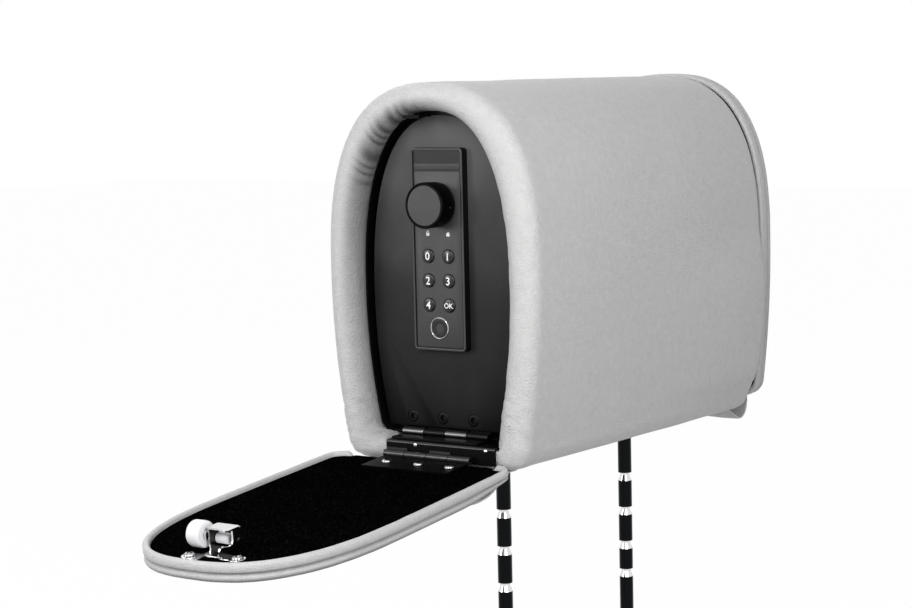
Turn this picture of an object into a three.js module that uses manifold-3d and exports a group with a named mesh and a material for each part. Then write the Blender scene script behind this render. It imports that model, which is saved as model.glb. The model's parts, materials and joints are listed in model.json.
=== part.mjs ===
// Portable car safe: a padded headrest body with a steel safe inside it, in millimetres, +Z up.
// X runs across the seat, the open end is at -X, the long face in view is at -Y.
// Z = 0 and X = Y = 0 is the point midway between the posts where they enter the seat back.
import * as THREE from 'three';
import { mergeVertices } from 'three/addons/utils/BufferGeometryUtils.js';
import Module from 'manifold-3d';

const wasm = await Module();
wasm.setup();

// Driving sizes of the padded body
const CREST = 156; // from the middle of the body to the top of either padded rim
const EGG_HALF = 83; // half of the largest depth, front to back
const EGG_HEIGHT = 248;
const BODY_SHIFT_Y = 6; // the body sits this far behind the posts
const BODY_BOTTOM_Z = 60; // underside of the body above the seat
const LEATHER = 1.6;
const SEAT_GAP = 0.3; // clearance between pieces that lie on each other
const RIM_WIDTH = 18.5; // thickness of the padded rim above and below the opening
const RIM_FLARE = 4.5; // how much thicker the rim is at its sides
const RIM_DEPTH = 10; // how far the rim's round goes back from the crest

// Driving sizes of the steel safe
const FOAM = 13.1;
const STEEL = 2;
const DOOR_RECESS = 20.4; // from the rim's crest to the door's face
const DOOR_THICKNESS = 4;
const DOOR_SIDE_GAP = 3;
const DOOR_FLOOR = 21; // the door's flat bottom edge above the underside
const FRAME_OVERLAP = 4; // how far the frame reaches in behind the door
const FRAME_THICKNESS = 3;

// Sill and its hinges
const SILL_ENDS = [-52, 34]; // the sill sits off centre in the recess
const SILL_THICKNESS = 1.5;
const SILL_TUCK = 12; // how far the sill runs back under the steel shell
const SILL_LIP_BOTTOM = 3;
const DOOR_HINGE_OUT = 2.9; // hinge axis in front of the door's face
const DOOR_HINGE_RADIUS = 2.4;
const DOOR_HINGE_Z = 17.85;
const FRAME_LEAF_REACH = 14.5;
const COVER_HINGE_OUT = 4.5; // hinge axis in front of the rim's crest
const COVER_HINGE_Z = 6.1;
const COVER_HINGE_RADIUS = 2.5;
const HINGE_KNUCKLE = 17.2;
const HINGE_KNUCKLES = 4;
const HINGE_SHIFT = -1.2; // the hinges sit a little off centre
const BODY_LEAF_REACH = 3.8;
const LEAF = 1.2;
const PIN_RADIUS = 1.1;
const PIN_CLEARANCE = 0.1;
const KNUCKLE_GAP = 0.3;
const RIVET_Y = [10.3, -45.2];
const RIVET_RADIUS = 1.5;
const RIVET_RISE = 0.8;
const RIVET_DROP = 2.3;

// Screws
const SCREW_RADIUS = 3.4;
const SCREW_HEAD = 2.1;
const SCREW_SHANK = 1.5;
const SOCKET_RADIUS = 4;
const SOCKET_HEAD = 2;
const SOCKET_PROUD = 0.2;
const DOOR_SCREW_Y = [-21, 3.2, 27.4];
const DOOR_SCREW_Z = 27.6;

// Side covers
const COVER_OPEN = THREE.MathUtils.degToRad(95.9);
const COVER_SHUT = THREE.MathUtils.degToRad(-0.5); // a shut cover leans in against the rim
const COVER_FLOOR = 8.3; // flat bottom edge of a cover above the body's underside
const COVER_SIDE_INSET = 9.5; // a cover's edge inside the body's outline, at its sides
const COVER_TOP_INSET = 7;
const COVER_BOTTOM_FLAT = 59.5; // half of the straight bottom edge, where the bead stops
const BEAD_RADIUS = 2;
const BEAD_TOP = 0.3; // top of the bead in front of the hinge axis
const SIDE_DEPTH = 5.2; // the smooth side below the bead ends this far behind the axis
const SEAM_DEPTH = 6.2;
const SEAM_INSET = 2; // depth of the groove between side and piping
const PIPING_RADIUS = 2.4;
const PIPING_DROP = 9.2; // centre of the piping behind the hinge axis
const COVER_CROWN = 15.5; // outermost point of the padded outside behind the hinge axis
const FLAP_HALF = 56;
const NEAR_FLAP = [
  [-138, -1.3], [-149, -1.8], [-156, -5.2], [-163, -10],
  [-172, -13.6], [-182, -15.2], [-192, -15.2], [-199, -14],
];
const FAR_FLAP = [
  [-138, -1.3], [-149, -1.9], [-157, -6], [-166, -9.5],
  [-173.5, -6.5], [-177, 0.5], [-177, 8], [-175.6, 15],
];
const FELT = 1;
const FELT_TOP = 2.4; // the felt lies this far behind the hinge axis
const PANEL = 2.2;
const LEAF_REACH = 27;
const LEAF_SCREW_H = 15.6;
const LEAF_SCREW_PITCH = 24.5;
const LEAF_SCREW_SHIFT = -3.8;

// Roller catch, placed on a cover by height above the hinge and distance across
const CATCH_ENDS = [-15, 2.2];
const CATCH_TOP = 13;
const CATCH_SHEET = 1.2;
const CATCH_LOW = 8.2; // the bracket's lower edge below the roller's axis
const CATCH_HIGH = 1.6; // the bridge's upper edge above the axis
const CATCH_HOOD = 2.4; // and so much more at its near end
const FOOT_REACH = 11.8; // the near leg's foot runs this far above the axis
const FOOT_RISE = 6.8; // thickness of that foot, away from the felt
const LEG_HIGH = -0.7; // the near leg's upper part ends here
const EAR_RADIUS = 5;
const EAR_SCREWS = [[-24.2, 8], [7.5, 12.6]]; // across, and above the roller's axis
const ROLLER_RADIUS = 8;
const ROLLER_LENGTH = 10;
const ROLLER_DROP = 0.7; // clearance below the strike's lip
const ROLLER_N = 8;
const ROLLER_W = 9;
const ARM_RISE = 5.8; // from the arm's pivot to the roller, up the cover
const ARM_OUT = 3; // and away from the felt
const LINK_RADIUS = 3;
const AXLE_RADIUS = 1.5;
const LINK = 1.2;
const SLEEVE_RADIUS = 3.2;
const SLEEVE_END = -9.3;
const STRIKE_HALF = 6.5;
const STRIKE_DROP = 2.5; // the strike's top below the recess's highest point
const STRIKE_LIP = 2.2;
const STRIKE_DEPTH = 12.5;
const STRIKE_SET = 1.5; // the strike's lip behind the rim's crest

// Lock unit
const CASE_WIDTH = 41.2;
const CASE_HEIGHT = 132.4;
const CASE_DEPTH = 6;
const CASE_CORNER = 3;
const CASE_Z = 139.3;
const CASE_BORDER = 1.7;
const CASE_FACE_DROP = 0.8;
const CASE_WALL = 1.8;
const KEY_RADIUS = 4.6;
const KEY_RISE = 1.4;
const KEY_SPACING_Y = 15.9;
const KEY_SPACING_Z = 16;
const KEY_TOP_Z = 135;
const KEY_FLANGE = 0.9;
const KEY_TRAVEL = 0.5;
const KEY_HOLE_CLEARANCE = 0.3;
const KEY_NAMES = ['key_0', 'key_1', 'key_2', 'key_3', 'key_4', 'key_ok'];
const KNOB_RADIUS = 15;
const KNOB_Z = 168.8;
const KNOB_HEIGHT = 15;
const KNOB_BORE = 9;
const SPINDLE_RADIUS = 4;
const CRANK_RADIUS = 7;
const CRANK_PIN = 1.5;
const CRANK_BACK = 0.4;
const CRANK_THICKNESS = 3.4;
const RING_RADIUS = 7.2;
const RING_WALL = 0.8;
const RING_Z = 88;
const PORT_WIDTH = 37;
const PORT_HEIGHT = 9;
const PORT_Z = 199.5;
const HOUSING_WIDTH = 44;
const HOUSING_DEPTH = 42;
const HOUSING_WALL = 2;
const BOLT_THICKNESS = 4;
const BOLT_HEIGHT = 14;
const BOLT_BACK = 4.4; // bolt's near side behind the door's back
const BOLT_RISE = 4; // the bolt's middle above the knob's axis
const BOLT_START = -9;
const BOLT_CLEAR = 11; // the drawn bolt's end inside the frame's widest edge
const BOARD = 1.2;
const BATTERY = { width: 26.5, depth: 17.5, height: 48.5 };

// Posts and base plate
const POST_RADIUS = 5;
const POST_SPACING = 160;
const POST_BOTTOM_Z = -110;
const NOTCH_NECK = 3.35;
const NOTCH_Z = [18.5, -6.9, -32.3, -53.3];
const NOTCH_FLAT = 1.8;
const NOTCH_RAMP = 4.2;
const POST_HEAD_RADIUS = 10;
const POST_HEAD = 3;
const POST_BOSS_RADIUS = 7;
const POST_BOSS_TOP = 9;
const POST_SLIDE = 20; // each post can move this far either way
const PLATE_HALF_LENGTH = 122;
const PLATE_HALF_WIDTH = 24;
const PLATE_THICKNESS = 3;
const PLATE_GAP = 0.4;
const PLATE_CORNER = 6;

// Levels worked out from the driving sizes
const SHELL_OUTER = LEATHER + FOAM + SEAT_GAP;
const SHELL_INNER = SHELL_OUTER + STEEL;
const DOOR_FACE = CREST - DOOR_RECESS;
const DOOR_BACK = DOOR_FACE - DOOR_THICKNESS;
const SHELL_END = DOOR_BACK - SEAT_GAP;
const SILL_TOP = SHELL_OUTER - SEAT_GAP;
const LIP_X = CREST + 0.2;
const CASE_FACE = CASE_DEPTH - CASE_FACE_DROP;
const BEAD_CENTRE = BEAD_RADIUS + 0.2;
const PIPING_CENTRE = PIPING_RADIUS + 0.4;
const LINING_INSET = BEAD_CENTRE + BEAD_RADIUS + SEAT_GAP;
const LINING_DEPTH = FELT_TOP + FELT + PANEL + 0.1 + SEAT_GAP;
const MOUNT_N = 0.1 - FELT_TOP; // base of whatever is screwed onto a cover's felt
const HINGE_LOW = HINGE_SHIFT - (HINGE_KNUCKLES * HINGE_KNUCKLE) / 2;
const HINGE_HIGH = HINGE_LOW + HINGE_KNUCKLES * HINGE_KNUCKLE;
const OPENING_HALF = EGG_HALF - RIM_WIDTH - RIM_FLARE;
const OPENING_TOP = EGG_HEIGHT - RIM_WIDTH;
const STRIKE_TOP = OPENING_TOP - STRIKE_DROP;
const ROLLER_H = STRIKE_TOP - STRIKE_LIP - ROLLER_DROP - ROLLER_RADIUS - COVER_HINGE_Z;
const PIVOT_H = ROLLER_H - ARM_RISE;
const PIVOT_N = ROLLER_N - ARM_OUT;
const BOLT_END = OPENING_HALF - DOOR_SIDE_GAP - FRAME_OVERLAP - BOLT_CLEAR;

// Egg outlines: half width, highest and widest level above the underside, superellipse power of the
// upper half, draw-in of the lower flanks per mm, radius of the bottom corners, level of the flat bottom
const BODY_EGG = {
  half: EGG_HALF, top: EGG_HEIGHT, wide: 128, power: 2.5, taper: 0.00083, corner: 14, floor: 0,
};
const OPENING_EGG = {
  half: OPENING_HALF, top: OPENING_TOP, wide: 112, power: 2.4, taper: 0.0013, corner: 7, floor: RIM_WIDTH,
};
const DOOR_EGG = { ...OPENING_EGG, floor: DOOR_FLOOR - DOOR_SIDE_GAP };
const COVER_EGG = {
  half: EGG_HALF - COVER_SIDE_INSET, top: EGG_HEIGHT - COVER_TOP_INSET,
  wide: 128, power: 2.6, taper: 0.0001, corner: 14, floor: COVER_FLOOR,
};

function material(color, roughness, metalness) {
  return new THREE.MeshStandardMaterial({ color, roughness, metalness });
}

const leather = () => material(0xa6a5a3, 0.55, 0);
const felt = () => material(0x0c0c0d, 0.95, 0);
const foam = () => material(0xd9d2b8, 0.9, 0);
const blackSteel = () => material(0x1e1f20, 0.45, 0.6);
const chrome = () => material(0xd4d6d8, 0.15, 1);
const darkChrome = () => material(0x3a3d3e, 0.2, 1);
const blackPlastic = () => material(0x17181a, 0.5, 0);
const whiteNylon = () => material(0xf2f2ef, 0.4, 0);
const greenBoard = () => material(0x1d5a35, 0.6, 0);

// One closed outline of an egg, drawn in by inset and shrunk about its widest level, as [y, z]
function eggLoop(egg, inset = 0, scale = 1) {
  const half = egg.half - inset;
  const rise = egg.top - inset - egg.wide;
  const flank = (z) => half - egg.taper * (egg.wide - z) ** 2;
  const radius = Math.max(egg.corner - inset, 3);
  const cornerZ = egg.floor + inset + radius;
  const side = [];
  const cornerSteps = 4;
  for (let i = 0; i <= cornerSteps; i += 1) {
    const angle = -Math.PI / 2 + (Math.PI / 2) * (i / cornerSteps);
    const y = flank(cornerZ) - radius + radius * Math.cos(angle);
    side.push([y, cornerZ + radius * Math.sin(angle)]);
  }
  const flankSteps = 4;
  for (let i = 1; i < flankSteps; i += 1) {
    const z = cornerZ + ((egg.wide - cornerZ) * i) / flankSteps;
    side.push([flank(z), z]);
  }
  const topSteps = 10;
  for (let i = 0; i <= topSteps; i += 1) {
    const angle = (Math.PI / 2) * (i / topSteps);
    const y = half * Math.max(Math.cos(angle), 0) ** (2 / egg.power);
    side.push([i === topSteps ? 0 : y, egg.wide + rise * Math.sin(angle) ** (2 / egg.power)]);
  }
  const mirrored = side.slice(0, -1).reverse().map(([y, z]) => [-y, z]);
  return [...side, ...mirrored].map(([y, z]) => [y * scale, egg.wide + (z - egg.wide) * scale]);
}

// The egg a share of the way from one to another
function mixEggs(from, to, share) {
  const entries = Object.keys(from).map((key) => [key, from[key] + (to[key] - from[key]) * share]);
  return Object.fromEntries(entries);
}

// A closed solid through a list of egg outlines: { x, egg, inset, scale }
function eggSolid(stations, closesOnItself) {
  const loops = stations.map((s) => eggLoop(s.egg, s.inset, s.scale));
  const count = loops[0].length;
  const positions = [];
  const indices = [];
  loops.forEach((loop, k) => loop.forEach(([y, z]) => positions.push(stations[k].x, y, z)));
  const bands = closesOnItself ? loops.length : loops.length - 1;
  for (let k = 0; k < bands; k += 1) {
    const here = k * count;
    const next = ((k + 1) % loops.length) * count;
    for (let i = 0; i < count; i += 1) {
      const j = (i + 1) % count;
      indices.push(here + i, here + j, next + j, here + i, next + j, next + i);
    }
  }
  if (!closesOnItself) {
    const last = (loops.length - 1) * count;
    const first = loops.length * count;
    const middle = stations[0].egg.wide;
    positions.push(stations[0].x, 0, middle, stations[stations.length - 1].x, 0, middle);
    for (let i = 0; i < count; i += 1) {
      const j = (i + 1) % count;
      indices.push(first, j, i, first + 1, last + i, last + j);
    }
  }
  const geometry = new THREE.BufferGeometry();
  geometry.setAttribute('position', new THREE.Float32BufferAttribute(positions, 3));
  geometry.setIndex(outward(positions, indices));
  geometry.computeVertexNormals();
  return geometry;
}

// Triangles turned so that the volume inside them is positive
function outward(positions, indices) {
  const corner = (i) => new THREE.Vector3().fromArray(positions, 3 * i);
  let volume = 0;
  for (let i = 0; i < indices.length; i += 3) {
    const [a, b, c] = [corner(indices[i]), corner(indices[i + 1]), corner(indices[i + 2])];
    volume += a.dot(b.cross(c));
  }
  return volume > 0 ? indices : indices.reverse();
}

function stripped(geometry) {
  const bare = geometry.clone();
  bare.deleteAttribute('normal');
  bare.deleteAttribute('uv');
  return bare;
}

// Drops the triangles that a lathe leaves without area on its axis
function solidFaces(index) {
  const kept = [];
  for (let i = 0; i < index.length; i += 3) {
    const [a, b, c] = [index[i], index[i + 1], index[i + 2]];
    if (a !== b && b !== c && a !== c) {
      kept.push(a, b, c);
    }
  }
  return kept;
}

function toManifold(geometry) {
  const merged = mergeVertices(stripped(geometry), 1e-4);
  const vertProperties = new Float32Array(merged.attributes.position.array);
  const triVerts = new Uint32Array(solidFaces(Array.from(merged.index.array)));
  return new wasm.Manifold(new wasm.Mesh({ numProp: 3, vertProperties, triVerts }));
}

function fromManifold(solid) {
  const { vertProperties, triVerts } = solid.getMesh();
  const geometry = new THREE.BufferGeometry();
  geometry.setAttribute('position', new THREE.BufferAttribute(vertProperties, 3));
  geometry.setIndex(new THREE.BufferAttribute(triVerts, 1));
  const flat = geometry.toNonIndexed();
  flat.computeVertexNormals();
  return flat;
}

function subtract(geometry, cutters) {
  let solid = toManifold(geometry);
  cutters.forEach((cutter) => {
    solid = solid.subtract(toManifold(cutter));
  });
  return fromManifold(solid);
}

function join(geometries) {
  let solid = toManifold(geometries[0]);
  geometries.slice(1).forEach((other) => {
    solid = solid.add(toManifold(other));
  });
  return fromManifold(solid);
}

// A box from its low and high corners
function box(low, high) {
  const size = high.map((v, i) => v - low[i]);
  const geometry = new THREE.BoxGeometry(...size);
  return geometry.translate(...high.map((v, i) => (v + low[i]) / 2));
}

// A cylinder along X, Y or Z, from one end to the other; across holds its other two coordinates
function rod(axis, radius, from, to, across, sides = 16) {
  const geometry = new THREE.CylinderGeometry(radius, radius, to - from, sides);
  const middle = (from + to) / 2;
  if (axis === 'x') {
    return geometry.rotateZ(-Math.PI / 2).translate(middle, across[0], across[1]);
  }
  if (axis === 'z') {
    return geometry.rotateX(Math.PI / 2).translate(across[0], across[1], middle);
  }
  return geometry.translate(across[0], middle, across[1]);
}

// A turned piece about +Y: the profile is [radius, height] and starts and ends on the axis or closes
function turned(profile, sides) {
  const lathe = new THREE.LatheGeometry(profile.map(([r, y]) => new THREE.Vector2(r, y)), sides);
  const merged = mergeVertices(stripped(lathe), 1e-4);
  const positions = Array.from(merged.attributes.position.array);
  merged.setIndex(outward(positions, solidFaces(Array.from(merged.index.array))));
  merged.computeVertexNormals();
  return merged;
}

// A turned piece about an axis along X through y and z: the profile is [radius, x]
function turnedAlongX(profile, sides, y, z) {
  const points = profile.map(([radius, x]) => [radius, -x]);
  return turned(points, sides).rotateZ(Math.PI / 2).translate(0, y, z);
}

function roundedRectangle(width, height, radius) {
  const shape = new THREE.Shape();
  const [w, h] = [width / 2 - radius, height / 2 - radius];
  const centres = [[w, h], [-w, h], [-w, -h], [w, -h]];
  centres.forEach(([x, y], turn) => {
    const start = (turn * Math.PI) / 2;
    shape.absarc(x, y, radius, start, start + Math.PI / 2);
  });
  shape.closePath();
  return shape;
}

// A rounded rectangle in Y and Z, extruded along X
function roundedBlock(width, height, radius, fromX, toX, z) {
  const shape = roundedRectangle(width, height, radius);
  const options = { depth: toX - fromX, bevelEnabled: false, curveSegments: 4 };
  const geometry = new THREE.ExtrudeGeometry(shape, options);
  return geometry.rotateX(Math.PI / 2).rotateZ(Math.PI / 2).translate(fromX, 0, z);
}

// A section in X and Z, extruded along Y
function profileAlongY(points, from, to) {
  const shape = new THREE.Shape(points.map(([x, z]) => new THREE.Vector2(x, z)));
  const geometry = new THREE.ExtrudeGeometry(shape, { depth: to - from, bevelEnabled: false });
  return geometry.rotateX(Math.PI / 2).translate(0, to, 0);
}

// A strip bent along a line of [x, z] points and as wide as from and to across Y
function strip(points, thickness, from, to) {
  const curve = new THREE.CatmullRomCurve3(points.map(([x, z]) => new THREE.Vector3(x, z, 0)));
  const steps = 3 * (points.length - 1);
  const above = [];
  const below = [];
  for (let i = 0; i <= steps; i += 1) {
    const at = curve.getPoint(i / steps);
    const along = curve.getTangent(i / steps);
    const across = [(-along.y * thickness) / 2, (along.x * thickness) / 2];
    above.push([at.x + across[0], at.y + across[1]]);
    below.push([at.x - across[0], at.y - across[1]]);
  }
  return profileAlongY([...above, ...below.reverse()], from, to);
}

function put(parent, name, geometry, finish) {
  const mesh = new THREE.Mesh(geometry, finish);
  mesh.name = name;
  parent.add(mesh);
  return mesh;
}

const safe = new THREE.Group();
const body = new THREE.Group();
body.position.set(0, BODY_SHIFT_Y, BODY_BOTTOM_Z);
safe.add(body);

// The rim's round as stations from the outside to the recess, margin deep in the leather
function rimRound(margin, side) {
  const steps = 5;
  const stations = [];
  for (let i = 0; i <= steps; i += 1) {
    const angle = (Math.PI * i) / steps;
    const egg = mixEggs(BODY_EGG, OPENING_EGG, (1 - Math.cos(angle)) / 2);
    const x = side * (CREST - RIM_DEPTH + (RIM_DEPTH - margin) * Math.sin(angle));
    stations.push({ x, egg, inset: margin * Math.cos(angle) });
  }
  return stations;
}

// Boxes that make room for a sill at either end and for the two post heads
function bodyCutters() {
  const cutters = [];
  [-1, 1].forEach((side) => {
    const reach = [side * (CREST + 4), side * (SHELL_END - SILL_TUCK - SEAT_GAP)].sort((a, b) => a - b);
    const ends = SILL_ENDS.map((y) => -side * y).sort((a, b) => a - b);
    const bottom = SILL_TOP - SILL_THICKNESS - SEAT_GAP;
    cutters.push(box([reach[0], ends[0] - SEAT_GAP, bottom], [reach[1], ends[1] + SEAT_GAP, RIM_WIDTH + 1]));
    const middle = (side * POST_SPACING) / 2;
    const half = POST_SLIDE + POST_HEAD_RADIUS + 1;
    const across = POST_HEAD_RADIUS + 2;
    const low = [middle - half, -BODY_SHIFT_Y - across, -1];
    cutters.push(box(low, [middle + half, -BODY_SHIFT_Y + across, POST_BOSS_TOP + 3]));
  });
  return cutters;
}

function buildBody() {
  const cover = [
    { x: -DOOR_BACK, egg: OPENING_EGG },
    ...rimRound(0, -1).reverse(),
    ...rimRound(0, 1),
    { x: DOOR_BACK, egg: OPENING_EGG },
    { x: DOOR_BACK, egg: OPENING_EGG, inset: -LEATHER },
    ...rimRound(LEATHER, 1).reverse(),
    ...rimRound(LEATHER, -1),
    { x: -DOOR_BACK, egg: OPENING_EGG, inset: -LEATHER },
  ];
  put(body, 'leather_cover', subtract(eggSolid(cover, true), bodyCutters()), leather());

  const margin = LEATHER + SEAT_GAP;
  const step = SHELL_END + SEAT_GAP;
  const pad = [
    ...rimRound(margin, -1).reverse(),
    ...rimRound(margin, 1),
    { x: step, egg: OPENING_EGG, inset: -margin },
    { x: step, egg: BODY_EGG, inset: SHELL_OUTER - SEAT_GAP },
    { x: -step, egg: BODY_EGG, inset: SHELL_OUTER - SEAT_GAP },
    { x: -step, egg: OPENING_EGG, inset: -margin },
  ];
  put(body, 'foam_core', subtract(eggSolid(pad, true), bodyCutters()), foam());

  const shell = [
    { x: -SHELL_END, egg: BODY_EGG, inset: SHELL_OUTER },
    { x: SHELL_END, egg: BODY_EGG, inset: SHELL_OUTER },
    { x: SHELL_END, egg: BODY_EGG, inset: SHELL_INNER },
    { x: -SHELL_END, egg: BODY_EGG, inset: SHELL_INNER },
  ];
  put(body, 'safe_shell', eggSolid(shell, true), blackSteel());

  const seat = SHELL_INNER + SEAT_GAP;
  const inner = DOOR_SIDE_GAP + FRAME_OVERLAP;
  const frame = [
    { x: -SHELL_END, egg: BODY_EGG, inset: seat },
    { x: -SHELL_END + FRAME_THICKNESS, egg: BODY_EGG, inset: seat },
    { x: -SHELL_END + FRAME_THICKNESS, egg: OPENING_EGG, inset: inner },
    { x: -SHELL_END, egg: OPENING_EGG, inset: inner },
  ];
  put(body, 'door_frame', eggSolid(frame, true), blackSteel());

  const back = [
    { x: SHELL_END - FRAME_THICKNESS, egg: BODY_EGG, inset: seat },
    { x: SHELL_END, egg: BODY_EGG, inset: seat },
  ];
  put(body, 'back_plate', eggSolid(back, false), blackSteel());
}

// A domed screw head along +X on a plate at n, with a cross recess and a short shank
function panScrew(n, y, z) {
  const top = n + SCREW_HEAD;
  const profile = [
    [0, n - LEAF],
    [SCREW_SHANK, n - LEAF],
    [SCREW_SHANK, n],
    [SCREW_RADIUS, n],
    [SCREW_RADIUS * 0.97, n + SCREW_HEAD * 0.45],
    [SCREW_RADIUS * 0.7, n + SCREW_HEAD * 0.85],
    [0, top],
  ];
  const head = turnedAlongX(profile.reverse(), 16, y, z);
  const [long, thin] = [SCREW_RADIUS * 0.55, SCREW_RADIUS * 0.13];
  const depth = top - SCREW_HEAD * 0.6;
  const bars = [
    box([depth, y - long, z - thin], [top + 1, y + long, z + thin]),
    box([depth, y - thin, z - long], [top + 1, y + thin, z + long]),
  ];
  return subtract(head, bars);
}

// The bent steel sill under a recess, with two rivet heads on its lip
function buildSill(parent, name) {
  const lipOuter = -LIP_X - SILL_THICKNESS;
  const back = -(SHELL_END - SILL_TUCK);
  const section = [
    [lipOuter, SILL_LIP_BOTTOM],
    [-LIP_X, SILL_LIP_BOTTOM],
    [-LIP_X, SILL_TOP - SILL_THICKNESS],
    [back, SILL_TOP - SILL_THICKNESS],
    [back, SILL_TOP],
    [lipOuter, SILL_TOP],
  ];
  const rivets = RIVET_Y.map((y) =>
    rod('x', RIVET_RADIUS, lipOuter - RIVET_RISE, lipOuter + 0.5, [y, SILL_TOP - RIVET_DROP], 10));
  const sill = join([profileAlongY(section, ...SILL_ENDS), ...rivets]);
  put(parent, `${name}_sill`, sill, blackSteel());
}

// One leaf of a hinge along Y: its plate and every second knuckle, with room for the other leaf's
function hingeLeaf(axis, radius, first, plate) {
  const knuckles = [];
  const relief = [];
  for (let i = 0; i < HINGE_KNUCKLES; i += 1) {
    const from = HINGE_LOW + i * HINGE_KNUCKLE;
    const to = from + HINGE_KNUCKLE;
    if (i % 2 === first) {
      knuckles.push(rod('y', radius, from + KNUCKLE_GAP / 2, to - KNUCKLE_GAP / 2, axis));
    } else {
      const reach = radius + 0.4;
      const low = [axis[0] - reach, from - KNUCKLE_GAP / 2, axis[1] - reach];
      relief.push(box(low, [axis[0] + reach, to + KNUCKLE_GAP / 2, axis[1] + reach]));
    }
  }
  const bore = rod('y', PIN_RADIUS + PIN_CLEARANCE, HINGE_LOW - 1, HINGE_HIGH + 1, axis, 12);
  return subtract(join([plate, ...knuckles]), [bore, ...relief]);
}

const hingePin = (axis) => rod('y', PIN_RADIUS, HINGE_LOW, HINGE_HIGH, axis, 12);

// A distance in front of the door's face, or behind its back, as X at the near end
const front = (distance) => -(DOOR_FACE + distance);
const behind = (distance) => -(DOOR_BACK - distance);

function buildDoor() {
  const stations = [-DOOR_FACE, -DOOR_BACK].map((x) => ({ x, egg: DOOR_EGG, inset: DOOR_SIDE_GAP }));
  const holes = [rod('x', SPINDLE_RADIUS + SEAT_GAP, front(1), behind(1), [0, KNOB_Z])];
  DOOR_SCREW_Y.forEach((y) => {
    const at = [y, DOOR_SCREW_Z];
    holes.push(rod('x', SOCKET_RADIUS + 0.15, front(1), front(-SOCKET_HEAD - 0.1), at));
    holes.push(rod('x', SCREW_SHANK + 0.15, front(1), behind(1), at, 10));
  });
  put(body, 'safe_door', subtract(eggSolid(stations, false), holes), blackSteel());

  DOOR_SCREW_Y.forEach((y, i) => {
    const head = rod('x', SOCKET_RADIUS, front(SOCKET_PROUD), front(-SOCKET_HEAD), [y, DOOR_SCREW_Z]);
    const shank = rod('x', SCREW_SHANK, front(-SOCKET_HEAD) - 0.5, behind(0), [y, DOOR_SCREW_Z], 10);
    const hex = rod('x', SOCKET_RADIUS * 0.5, front(2), front(-1.4), [y, DOOR_SCREW_Z], 6);
    put(body, `door_screw_${i + 1}`, subtract(join([head, shank]), [hex]), blackSteel());
  });

  const axis = [front(DOOR_HINGE_OUT), DOOR_HINGE_Z];
  const [left, right] = [HINGE_LOW + 0.2, HINGE_HIGH - 0.2];
  const plateTop = DOOR_FLOOR - SEAT_GAP;
  const upper = box([axis[0], left, plateTop - LEAF], [front(-SOCKET_HEAD - 1), right, plateTop]);
  const lowerBottom = SILL_TOP + SEAT_GAP;
  const lowerFront = axis[0] - FRAME_LEAF_REACH;
  const lower = box([lowerFront, left, lowerBottom], [axis[0], right, lowerBottom + LEAF]);
  put(body, 'door_hinge_leaf', hingeLeaf(axis, DOOR_HINGE_RADIUS, 1, upper), blackSteel());
  put(body, 'frame_hinge_leaf', hingeLeaf(axis, DOOR_HINGE_RADIUS, 0, lower), blackSteel());
  put(body, 'door_hinge_pin', hingePin(axis), darkChrome());
}

// Centres of the six keys in Y and Z, left to right and down
function keyPlaces() {
  const places = [];
  for (let row = 0; row < 3; row += 1) {
    [1, -1].forEach((side) => {
      places.push([(side * KEY_SPACING_Y) / 2, KEY_TOP_Z - row * KEY_SPACING_Z]);
    });
  }
  return places;
}

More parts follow.
